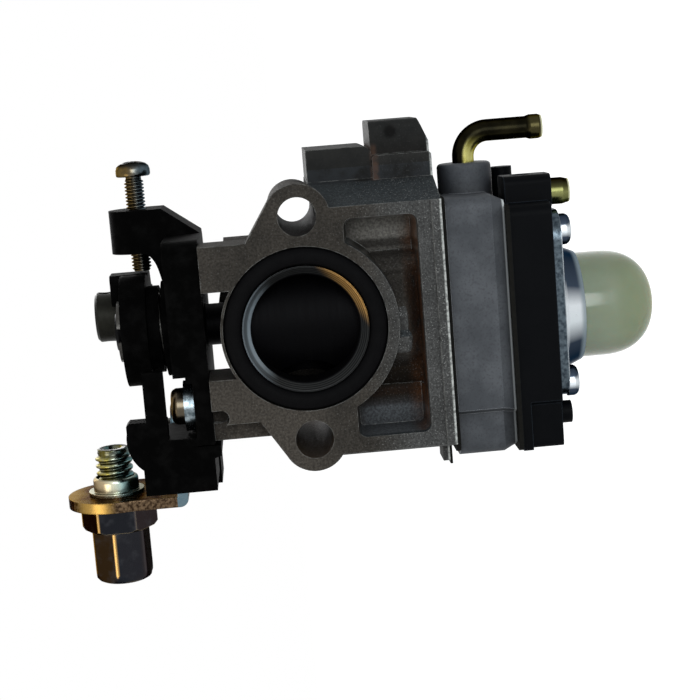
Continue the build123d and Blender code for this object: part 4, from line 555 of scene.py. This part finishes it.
def coil_mesh(name, start, radius, wire, turns, length, sides=10, steps=36):
    """A round wire wound upwards, with closed ends; all sizes in millimetres."""
    points = []
    count = int(turns * steps) + 1
    for step in range(count):
        angle = 2 * pi * step / steps
        out = Vector((cos(angle), sin(angle), 0))
        middle = Vector(start) + out * radius + Vector((0, 0, length * step / (count - 1)))
        for number in range(sides):
            around = 2 * pi * number / sides
            points.append(middle + (out * cos(around) + Vector((0, 0, sin(around)))) * wire / 2)
    outward = [face[:1] + face[:0:-1] for face in tube_faces(count, sides)]
    return new_piece(name, points, outward, smooth=True)


spring_wire = 0.9
spring_low, spring_high, spring_middle = box_of("return_spring")
return_spring = coil_mesh(
    "return_spring_coils",
    (spring_middle.x, spring_middle.y, spring_low.z + spring_wire / 2),
    radius=(spring_high.x - spring_low.x) / 2 - spring_wire / 2, wire=spring_wire,
    turns=3.5, length=spring_high.z - spring_low.z - spring_wire,
)
spring_steel = even_finish("spring_steel", 0.6, (40, 39, 38), (82, 81, 78), 0.25, 0.4, 0.2, Metallic=1.0)
return_spring.data.materials.append(spring_steel.material)
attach(return_spring, "carburetor")
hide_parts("return_spring")
for node in ("shaft_ring", "swivel_clip"):
    dress(node, spring_steel)


# Idle speed screw: an M3 machine screw with a pan head, run through the cover's lug so that
# its tip stops the lever; the thread is bare on both sides of the lug.
def thread_mesh(name, start, length, root, crest, pitch, before=(), after=(), sides=48, fine=8):
    """A single-start thread along +X on a solid core, with plain (place, radius) rings at its ends."""
    count = int(length / pitch * fine)
    rows = [*before, *((length * ring / count, None) for ring in range(count + 1)), *after]
    points = []
    for place, plain in rows:
        for number in range(sides):
            angle = 2 * pi * number / sides
            radius = plain
            if plain is None:
                wave = (place / pitch - number / sides) % 1.0
                ridge = min(1.0, max(0.0, 1.25 - abs(wave - 0.5) * 2.6))
                fade = max(0.0, min(1.0, place / pitch, (length - place) / pitch))
                radius = root + (crest - root) * ridge * ridge * (3 - 2 * ridge) * fade
            points.append(Vector(start) + Vector((place, radius * cos(angle), radius * sin(angle))))
    return new_piece(name, points, tube_faces(len(rows), sides), smooth=True)


def turned_mesh(name, profile, start, direction, sides=96):
    """A solid of revolution: (distance along, radius) pairs in millimetres about an axis."""
    along = Vector(direction).normalized()
    across = along.orthogonal().normalized()
    third = along.cross(across)
    points = []
    for length, radius in profile:
        for number in range(sides):
            angle = 2 * pi * number / sides
            arm = across * cos(angle) + third * sin(angle)
            points.append(Vector(start) + along * length + arm * radius)
    return new_piece(name, points, tube_faces(len(profile), sides), smooth=True)


def face_outward(mesh, ends_meet=False):
    """Turn a closed mesh's faces outward, after its caps go and its seam closes if its ends meet."""
    shape = bmesh.new()
    shape.from_mesh(mesh)
    if ends_meet:
        caps = [face for face in shape.faces if len(face.verts) > 4]
        bmesh.ops.delete(shape, geom=caps, context="FACES_ONLY")
        bmesh.ops.remove_doubles(shape, verts=shape.verts, dist=0.00001)
    bmesh.ops.recalc_face_normals(shape, faces=shape.faces)
    shape.to_mesh(mesh)
    shape.free()


def crossed_recess(head, place, direction, reach, width, deep):
    """Cut the crossed recess of a driver into a screw's head."""
    along = Vector(direction).normalized()
    across = along.orthogonal().normalized()
    third = along.cross(across)
    half = width / 2
    outline = []
    for quarters in range(4):
        for first, second in ((reach, -half), (reach, half), (half, half)):
            for _ in range(quarters):
                first, second = -second, first
            outline.append((first, second))
    corners = []
    for level, narrow in ((0.5, 1.15), (-deep, 0.55)):
        for first, second in outline:
            corners.append(Vector(place) + along * level + (across * first + third * second) * narrow)
    count = len(outline)
    walls = ring_faces(0, count, count) + [tuple(range(count)), tuple(range(count, 2 * count))]
    tool = new_piece("recess", corners, walls)
    face_outward(tool.data)
    face_outward(head.data)
    cut = head.modifiers.new("recess", "BOOLEAN")
    cut.object = tool
    cut.operation = "DIFFERENCE"
    cut.solver = "EXACT"
    bpy.context.view_layer.update()
    shaped = bpy.data.meshes.new_from_object(head.evaluated_get(bpy.context.evaluated_depsgraph_get()))
    head.modifiers.clear()
    head.data = shaped
    bpy.data.objects.remove(tool)


idle_low, idle_high, idle_middle = box_of("idle_speed_screw")
idle_head_height = 2.2
idle_shank = idle_high.x - idle_low.x - idle_head_height
idle_thread = thread_mesh(
    "idle_screw_thread", (idle_low.x, idle_middle.y, idle_middle.z), idle_shank - 0.3,
    root=1.14, crest=1.44, pitch=0.5,
    before=[(0.0, 0.8)], after=[(idle_shank - 0.15, 1.14), (idle_shank + 0.3, 1.3)],
)
idle_head = turned_mesh(
    "idle_screw_head",
    [(0, 2.3), (0.12, 2.48), (0.4, 2.55), (1.0, 2.53), (1.5, 2.36), (1.85, 1.95), (2.08, 1.3), (2.19, 0.5)],
    (idle_low.x + idle_shank, idle_middle.y, idle_middle.z), (1, 0, 0),
)
idle_crown = (idle_high.x, idle_middle.y, idle_middle.z)
crossed_recess(idle_head, idle_crown, (1, 0, 0), reach=1.5, width=0.6, deep=1.1)
idle_zinc = Finish("thread_zinc", Metallic=1.0, Specular_Tint=(0.4, 0.4, 0.4, 1.0))
flank = idle_zinc.from_axis(1, 2, (idle_middle.y, idle_middle.z)).ease(1.15, 1.42)
# Painted warm and cool reflections by side, yellow toward the lever and blue toward the bulb, with painted
# shade on the head's top and in the thread's roots.
plating_and_sheen = idle_zinc.mix(idle_zinc.facing(2).ease(-0.6, 0.4), srgb(92, 108, 118), srgb(112, 92, 52))
plating_and_sheen = idle_zinc.mix(idle_zinc.grain(0.8, 3.0).ease(0.4, 0.7) * 0.5, plating_and_sheen, srgb(52, 54, 50))
crown = idle_zinc.facing(0).ease(0.25, 0.75) * idle_zinc.along(0).above(idle_high.x - idle_head_height - 0.01)
plating_and_sheen = idle_zinc.mix(crown * 0.9, plating_and_sheen, srgb(24, 26, 26))
root_shade_film = idle_zinc.mix(0.6, plating_and_sheen, srgb(26, 26, 24))
idle_zinc.set("Base Color", idle_zinc.mix(flank * 0.5, root_shade_film, plating_and_sheen))
idle_zinc.set("Roughness", 0.16 + idle_zinc.grain(0.6) * 0.12)
for piece in (idle_thread, idle_head):
    piece.data.materials.clear()
    piece.data.materials.append(idle_zinc.material)
    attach(piece, "idle_screw")
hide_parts("idle_speed_screw")

# Cable swivel: a turned steel barrel on the lever's arm, dull from its dip in zinc, cross
# drilled for the cable's nipple and slotted for the wire.
swivel_steel = Finish("dull_steel", Specular_IOR_Level=0.05)
swivel_rings = swivel_steel.grain(0.35, 2.0, stretch=(0.05, 0.05, 1.0))
swivel_skin = swivel_steel.mix(swivel_steel.grain(1.2, 4.0), srgb(18, 18, 16), srgb(38, 38, 34))
swivel_steel.set("Base Color", swivel_skin)
swivel_steel.set("Metallic", 0.5 + swivel_rings * 0.3)
swivel_steel.set("Roughness", 0.36 + swivel_rings * 0.2)
swivel_steel.bump(swivel_rings, 0.015, 0.5, edge=0.15)
dress("cable_swivel", swivel_steel)

# Bracket collar: a threaded steel collar swaged into the bracket, plated as brightly as the
# adjuster that runs in it.
collar_zinc = Finish("bright_zinc", Metallic=1.0, Specular_Tint=(0.4, 0.4, 0.4, 1.0))
# Painted reflections round the collar: a bright highlight across its middle, teal toward the bulb and brown
# toward the lever, with painted shade on its top.
plating_and_sheen = collar_zinc.ramp(
    collar_zinc.facing(2), (-1.0, srgb(20, 26, 28)), (-0.72, srgb(66, 104, 110)), (-0.35, srgb(150, 178, 176)),
    (0.05, srgb(214, 214, 190)), (0.45, srgb(184, 166, 132)), (1.0, srgb(124, 104, 76)),
)
plating_and_sheen = collar_zinc.mix(collar_zinc.grain(1.6, 3.0).ease(0.4, 0.75) * 0.25, plating_and_sheen, srgb(84, 84, 74))
plating_and_sheen = collar_zinc.mix(collar_zinc.facing(0).ease(0.5, 0.8) * 0.6, plating_and_sheen, srgb(88, 82, 64))
collar_zinc.set("Base Color", plating_and_sheen)
collar_zinc.set("Roughness", 0.18 + collar_zinc.grain(0.8, 4.0) * 0.12)
collar_zinc.bump(collar_zinc.grain(0.6, 2.0), 0.01, 0.3, edge=0.2)
dress("bracket_collar", collar_zinc)


# Cable adjuster and lock nut: an M6 tube with a hexagon cap, drilled for the cable and its sheath's ferrule,
# screwed through the bracket's collar and held by the nut. Both are turned from hexagon bar and plated dark,
# with painted highlights on their corners, gold on the lever's side.
def hexagon_mesh(name, start, length, flats, turned, rounding, hollow, hollow_depth, per_flat=14):
    """A hollow hexagon bar along +X, its near end turned round and its corners a little rounded."""
    sides = 6 * per_flat
    stations = [(0.0, 0.9), (0.08, 0.62), (0.22, 0.36), (0.5, 0.14), (1.0, 0.0)]
    stations = [(place * rounding, cut * rounding) for place, cut in stations]
    stations += [(length - 0.45, 0.0), (length - 0.12, 0.12), (length, 0.34)]
    corner_radius = flats / 2 / cos(pi / 6)
    rows = []
    for place, cut in stations:
        row = []
        for number in range(sides):
            inside = (2 * pi * number / sides) % (pi / 3) - pi / 6
            radius = min(flats / 2 / cos(inside), corner_radius * 0.975, corner_radius - cut)
            if place == 0.0:
                radius = min(radius, flats / 2 - cut * 0.25)
            row.append(radius)
        rows.append((place, row))
    bore = ((0.0, hollow + 0.25), (0.25, hollow), (hollow_depth, hollow), (hollow_depth + 0.6, 0.3))
    rows += [(place, [radius] * sides) for place, radius in bore]
    points = []
    for place, row in rows:
        for number, radius in enumerate(row):
            angle = 2 * pi * number / sides + radians(turned)
            points.append(Vector(start) + Vector((place, radius * cos(angle), radius * sin(angle))))
    outside, inside = range(len(stations)), [0, *range(len(stations), len(rows))]
    order = list(zip(outside, outside[1:])) + list(zip(inside[1:], inside))
    faces = []
    for first, second in order:
        faces += ring_faces(first * sides, second * sides, sides)
    faces += [tuple(range((last - 1) * sides, last * sides)) for last in (len(stations), len(rows))]
    piece = new_piece(name, points, faces)
    face_outward(piece.data)
    piece.data.polygons.foreach_set("use_smooth", [True] * len(piece.data.polygons))
    piece.data.set_sharp_from_angle(angle=radians(35))
    return piece


adjuster_low, adjuster_high, adjuster_middle = box_of("cable_adjuster")
cap_length = 8.2
thread_length = adjuster_high.x - adjuster_low.x - cap_length
adjuster_thread = thread_mesh(
    "adjuster_thread", (adjuster_low.x + cap_length, adjuster_middle.y, adjuster_middle.z),
    thread_length - 0.35, root=2.3, crest=2.82, pitch=1.12,
    after=[
        (thread_length - 0.15, 2.4), (thread_length - 0.05, 2.25),
        (thread_length - 0.05, 1.4), (thread_length - 3.0, 1.35),
    ],
)
adjuster_cap = hexagon_mesh(
    "adjuster_cap", (adjuster_low.x, adjuster_middle.y, adjuster_middle.z), cap_length,
    flats=8.0, turned=51.0, rounding=1.6, hollow=2.7, hollow_depth=5.5,
)
hexagon_zinc = Finish("hexagon_zinc", Metallic=1.0, Specular_Tint=(0.2, 0.19, 0.18, 1.0))
# Painted warm and cool reflections on the flats by side, brown toward the lever and blue grey toward the bulb.
plating_and_sheen = hexagon_zinc.ramp(
    hexagon_zinc.facing(2), (-1.0, srgb(60, 54, 55)), (-0.62, srgb(52, 48, 50)), (-0.3, srgb(30, 32, 37)),
    (0.2, srgb(30, 31, 35)), (0.5, srgb(34, 26, 18)), (1.0, srgb(70, 52, 32)),
)
plating_and_sheen = hexagon_zinc.mix(hexagon_zinc.grain(2.4, 3.0).ease(0.45, 0.8) * 0.35, plating_and_sheen, srgb(74, 76, 80))
# Painted highlights on the corners, gold on the lever's side.
gold_highlight_side = (hexagon_zinc.along(2) - adjuster_middle.z).ease(-1.5, 0.2)
corner_highlight_film = hexagon_zinc.mix(gold_highlight_side, srgb(66, 62, 64), srgb(208, 166, 100))
from_tube = hexagon_zinc.from_axis(1, 2, (adjuster_middle.y, adjuster_middle.z))
cap_corner = from_tube.ease(4.43, 4.50) * hexagon_zinc.along(0).below(adjuster_low.x + cap_length)
corner_highlight = cap_corner.math("MAXIMUM", from_tube.ease(5.60, 5.72))
plating_and_sheen = hexagon_zinc.mix(corner_highlight * 0.9, plating_and_sheen, corner_highlight_film)
plating_and_sheen = hexagon_zinc.mix(hexagon_zinc.edges(0.22) * 0.5, plating_and_sheen, srgb(168, 152, 118))
hexagon_zinc.set("Base Color", plating_and_sheen)
hexagon_zinc.set("Roughness", 0.20 + hexagon_zinc.grain(1.4, 3.0) * 0.14)
hexagon_zinc.bump(hexagon_zinc.grain(0.7, 2.0), 0.012, 0.3, edge=0.15)
dress("adjuster_nut", hexagon_zinc)
adjuster_cap.data.materials.append(hexagon_zinc.material)
tube_zinc = Finish("adjuster_thread", Metallic=1.0, Specular_Tint=(0.5, 0.5, 0.5, 1.0))
# Painted reflections by side, teal toward the bulb and gold toward the lever, with patches of painted white
# highlight, and painted shade on the top and in the thread's roots.
plating_and_sheen = tube_zinc.ramp(
    tube_zinc.facing(2), (-1.0, srgb(40, 74, 78)), (-0.5, srgb(96, 138, 140)), (-0.1, srgb(84, 92, 76)),
    (0.2, srgb(128, 124, 66)), (0.6, srgb(150, 136, 62)), (1.0, srgb(74, 62, 30)),
)
plating_and_sheen = tube_zinc.mix(tube_zinc.grain(1.0, 3.0).ease(0.4, 0.7) * 0.4, plating_and_sheen, srgb(196, 202, 190))
plating_and_sheen = tube_zinc.mix(tube_zinc.facing(0).ease(0.7, 0.9) * 0.85, plating_and_sheen, srgb(16, 17, 12))
crest = tube_zinc.from_axis(1, 2, (adjuster_middle.y, adjuster_middle.z)).ease(2.4, 2.85)
tube_zinc.set("Base Color", tube_zinc.mix(crest, tube_zinc.mix(0.65, plating_and_sheen, srgb(12, 14, 12)), plating_and_sheen))
tube_zinc.set("Roughness", 0.15 + tube_zinc.grain(0.6) * 0.12)
adjuster_thread.data.materials.append(tube_zinc.material)
for piece in (adjuster_thread, adjuster_cap):
    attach(piece, "adjuster")
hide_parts("cable_adjuster")

# Pump block: a finer casting than the body, tumbled to a cool grey, with the fuel inlet's boss
# on top, clamped between the body and the purge block by the stack screws.
pump_casting = Finish("pump_casting", Specular_IOR_Level=0.08)
pump_tone = pump_casting.grain(5.0, 4.0).ease(0.3, 0.7)
pump_skin = pump_casting.mix(pump_tone, srgb(57, 60, 64), srgb(72, 75, 79))
pump_skin = pump_casting.mix(pump_casting.grain(0.36, 2.0).ease(0.50, 0.68) * 0.35, pump_skin, srgb(44, 45, 48))
# Painted shade on the faces turned toward the lever and the bulb.
sideways_shade = pump_casting.facing(2).math("ABSOLUTE").ease(0.3, 0.95)
pump_skin = pump_casting.mix(sideways_shade * 0.65, pump_skin, srgb(30, 34, 42))
pump_skin = pump_casting.mix(pump_casting.edges(0.22) * 0.75, pump_skin, srgb(150, 155, 160))
pump_low = box_of("pump_body")[0]
# Painted highlight along the front edge on the bulb's side.
rim_highlight = (1.0 - (pump_casting.along(2) - pump_low.z).ease(0.18, 0.42)) * pump_casting.facing(1).below(-0.1)
pump_skin = pump_casting.mix(rim_highlight * 0.85, pump_skin, srgb(186, 192, 194))
# Painted shade in the block's corners.
pump_corner_shade = pump_casting.node("AmbientOcclusion", {"samples": 6}, {"Distance": 0.0025}, output="AO")
pump_casting.set("Base Color", pump_casting.mix((1.0 - pump_corner_shade) * 0.7, pump_skin, srgb(24, 21, 18)))
pump_casting.set("Metallic", 0.2 + pump_tone * 0.1)
pump_casting.set("Roughness", 0.46 + pump_casting.grain(0.8) * 0.16)
pump_casting.bump(pump_casting.grain(0.4, 3.0), 0.025, 0.6, edge=0.3)
dress("pump_body", pump_casting)

# Gaskets, diaphragms and rubber valves: punched from fibre and rubbered cloth, they show as dark
# lines above and below the pump block; the valves are moulded like the seal.
gasket_fibre = even_finish(
    "gasket_fibre", 0.6, (12, 12, 12), (26, 26, 24), 0.7, 0.4, 0.2, Specular_IOR_Level=0.03
)
for node in ("pump_gasket", "metering_gasket", "pump_diaphragm", "metering_diaphragm"):
    dress(node, gasket_fibre)
for node in ("check_valve", "inlet_valve"):
    dress(node, seal_rubber)

# Inlet tube and return nipple: drawn brass, the tube bent over a former, each swelled at its end for a fuel
# hose and pressed into its boss. A dip has left them dark olive; the yellow on the faces toward the bulb, low
# on the bend, is a painted highlight.
olive_brass = Finish("olive_brass", Metallic=1.0, Specular_Tint=(0.25, 0.22, 0.12, 1.0))
raised = olive_brass.along(0)
outward_end = -olive_brass.along(2)
stained = olive_brass.grain(2.0, 3.0).ease(0.3, 0.7)
olive = olive_brass.mix(stained, srgb(13, 12, 7), srgb(24, 22, 13))
# Painted highlight on the faces toward the bulb, low on the bend.
bulb_facing_highlight = (1.0 - raised.ease(21.6, 24.4)) * (-olive_brass.facing(2)).ease(-0.3, 0.35)
yellow = olive_brass.mix(stained, srgb(150, 140, 52), srgb(204, 200, 128))
olive = olive_brass.mix(bulb_facing_highlight * 0.9, olive, yellow)
olive = olive_brass.mix(outward_end.ease(33.8, 34.4) * 0.3, olive, srgb(88, 82, 52))
# Painted light and shade on the nipple: lightest on the faces that look forward, with painted shade on those
# that look up.
nipple_light_and_shade = olive_brass.ramp(
    olive_brass.facing(0), (-0.9, srgb(76, 80, 50)), (-0.1, srgb(122, 124, 78)),
    (0.35, srgb(66, 66, 38)), (0.7, srgb(30, 28, 18)),
)
olive = olive_brass.mix(raised.below(17.8) * outward_end.above(33.5), olive, nipple_light_and_shade)
bright_tips = outward_end.ease(35.65, 35.9) * raised.above(18.0) + outward_end.ease(38.5, 38.7)
olive_brass.set("Base Color", olive_brass.mix(bright_tips, olive, srgb(206, 206, 176)))
olive_brass.set("Roughness", 0.20 + olive_brass.grain(1.0) * 0.12)
for node in ("inlet_elbow", "return_nipple"):
    dress(node, olive_brass)

# Metering chamber: a steel lever on its pin, a fine spring, the button riveted to the diaphragm
# and a wire screen over the inlet. All of them are shut in between the blocks.
for node in ("metering_pin", "metering_lever", "diaphragm_button", "inlet_screen"):
    dress(node, ground_steel)
metering_low, metering_high, metering_middle = box_of("metering_spring")
metering_coils = coil_mesh(
    "metering_spring_coils", (metering_middle.x, metering_middle.y, metering_low.z + 0.125),
    radius=0.75, wire=0.22, turns=3.5, length=metering_high.z - metering_low.z - 0.25, sides=6, steps=20,
)
metering_coils.data.materials.append(spring_steel.material)
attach(metering_coils, "carburetor")
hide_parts("metering_spring")
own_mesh(metering_coils)

# Purge block: moulded in the same black nylon as the cover but smoother and a little blue, with
# the return nipple's boss on top and a port in the boss.
purge_nylon = Finish("purge_nylon", Specular_IOR_Level=0.025)
purge_skin = purge_nylon.mix(purge_nylon.grain(3.0, 4.0), srgb(3, 4, 6), srgb(8, 9, 11))
purge_nylon.set("Base Color", purge_nylon.mix(purge_nylon.edges(0.25) * 0.6, purge_skin, srgb(46, 54, 62)))
purge_nylon.set("Roughness", 0.38 + purge_nylon.grain(1.5) * 0.16)
purge_nylon.bump(purge_nylon.grain(0.4, 3.0), 0.012, 0.4, edge=0.25)
dress("purge_body", purge_nylon)

# Retaining plate and stack screws: a blanked steel plate drawn up into a cone over the bulb's
# foot, and the four pan-head screws that clamp the stack to the body; bright zinc.
cone_zinc = Finish("cone_zinc", Metallic=1.0, Specular_Tint=(0.4, 0.42, 0.45, 1.0))
cone_rise = -cone_zinc.along(2)
drawn = cone_rise.ease(36.3, 36.7)
plate_film = cone_zinc.mix(cone_zinc.grain(0.6, 3.0).ease(0.3, 0.7), srgb(40, 48, 55), srgb(78, 88, 95))
# Painted highlight on the cone's faces that look sideways, fading to painted shade, navy, on those that look up
# and down.
cone_highlight_film = cone_zinc.ramp(
    cone_zinc.facing(0), (-0.9, srgb(30, 36, 44)), (-0.45, srgb(50, 60, 74)), (-0.12, srgb(218, 226, 232)),
    (0.12, srgb(224, 230, 236)), (0.4, srgb(58, 69, 84)), (0.9, srgb(34, 42, 54)),
)
cone_highlight_film = cone_zinc.mix(cone_rise.ease(39.0, 39.8) * 0.8, cone_highlight_film, srgb(132, 146, 154))
plating_and_sheen = cone_zinc.mix(drawn, plate_film, cone_highlight_film)
plating_and_sheen = cone_zinc.mix(cone_zinc.edges(0.13) * (1.0 - drawn * 0.6) * 0.85, plating_and_sheen, srgb(196, 206, 212))
cone_zinc.set("Base Color", plating_and_sheen)
cone_zinc.set("Roughness", 0.18 + cone_zinc.grain(0.8, 4.0) * 0.14)
cone_zinc.bump(cone_zinc.grain(0.6, 2.0), 0.012, 0.4, edge=0.15)
for node in ("bulb_retainer", "stack_screws"):
    dress(node, cone_zinc)

# Primer bulb: a thin dome of milky fuel-proof polymer that a thumb presses in, held by its foot under the
# plate; light gets through it, so its edge is greener than its middle, and painted shade darkens that edge
# where the dome faces up and down.
bulb_low, bulb_high, bulb_middle = box_of("primer_bulb")
bulb_radius, bulb_foot, bulb_wall, bulb_fullness = 7.7, 8.3, 0.9, 0.86
straight = bulb_high.z - bulb_low.z - bulb_radius
outer = [(0.0, bulb_foot), (1.35, bulb_foot), (1.5, 8.15), (1.5, 7.75), (2.0, bulb_radius)]
outer += [(straight * share, bulb_radius) for share in (0.4, 0.6, 0.8)]
inner = []
for step in range(33):
    angle = pi / 2 * step / 32
    rise = sin(angle) ** bulb_fullness
    width = max(cos(angle), 0.0) ** bulb_fullness
    for wall, radius in ((outer, bulb_radius), (inner, bulb_radius - bulb_wall)):
        wall.append((straight + radius * rise, max(radius * width, 0.02)))
bulb = turned_mesh(
    "primer_bulb_dome", outer + inner[::-1] + [(0.0, bulb_radius - bulb_wall), (0.0, bulb_foot)],
    (bulb_middle.x, bulb_middle.y, bulb_high.z), (0, 0, -1), sides=72,
)
face_outward(bulb.data, ends_meet=True)
bulb_polymer = Finish("bulb_polymer", Specular_IOR_Level=0.5, Subsurface_Weight=0.35, Subsurface_Scale=0.003)
toward_tip = -bulb_polymer.along(2)
milk = bulb_polymer.mix(bulb_polymer.grain(6.0, 3.0), srgb(98, 110, 90), srgb(116, 128, 108))
milk = bulb_polymer.mix(toward_tip.ease(41.0, 50.5) * 0.45, milk, srgb(116, 126, 84))
# Painted shade, darker and greener, where the dome faces up and down.
up_down_shade = bulb_polymer.facing(0).math("ABSOLUTE").ease(0.45, 1.0)
milk = bulb_polymer.mix(up_down_shade * 0.7, milk, srgb(86, 98, 66))
milk = bulb_polymer.mix(toward_tip.ease(49.4, 50.4) * 0.7, milk, srgb(116, 122, 60))
bulb_polymer.set("Base Color", milk)
bulb_polymer.set("Roughness", 0.08 + bulb_polymer.grain(3.0) * 0.05)
bulb.data.materials.append(bulb_polymer.material)
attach(bulb, "carburetor")
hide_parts("primer_bulb")
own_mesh(bulb)
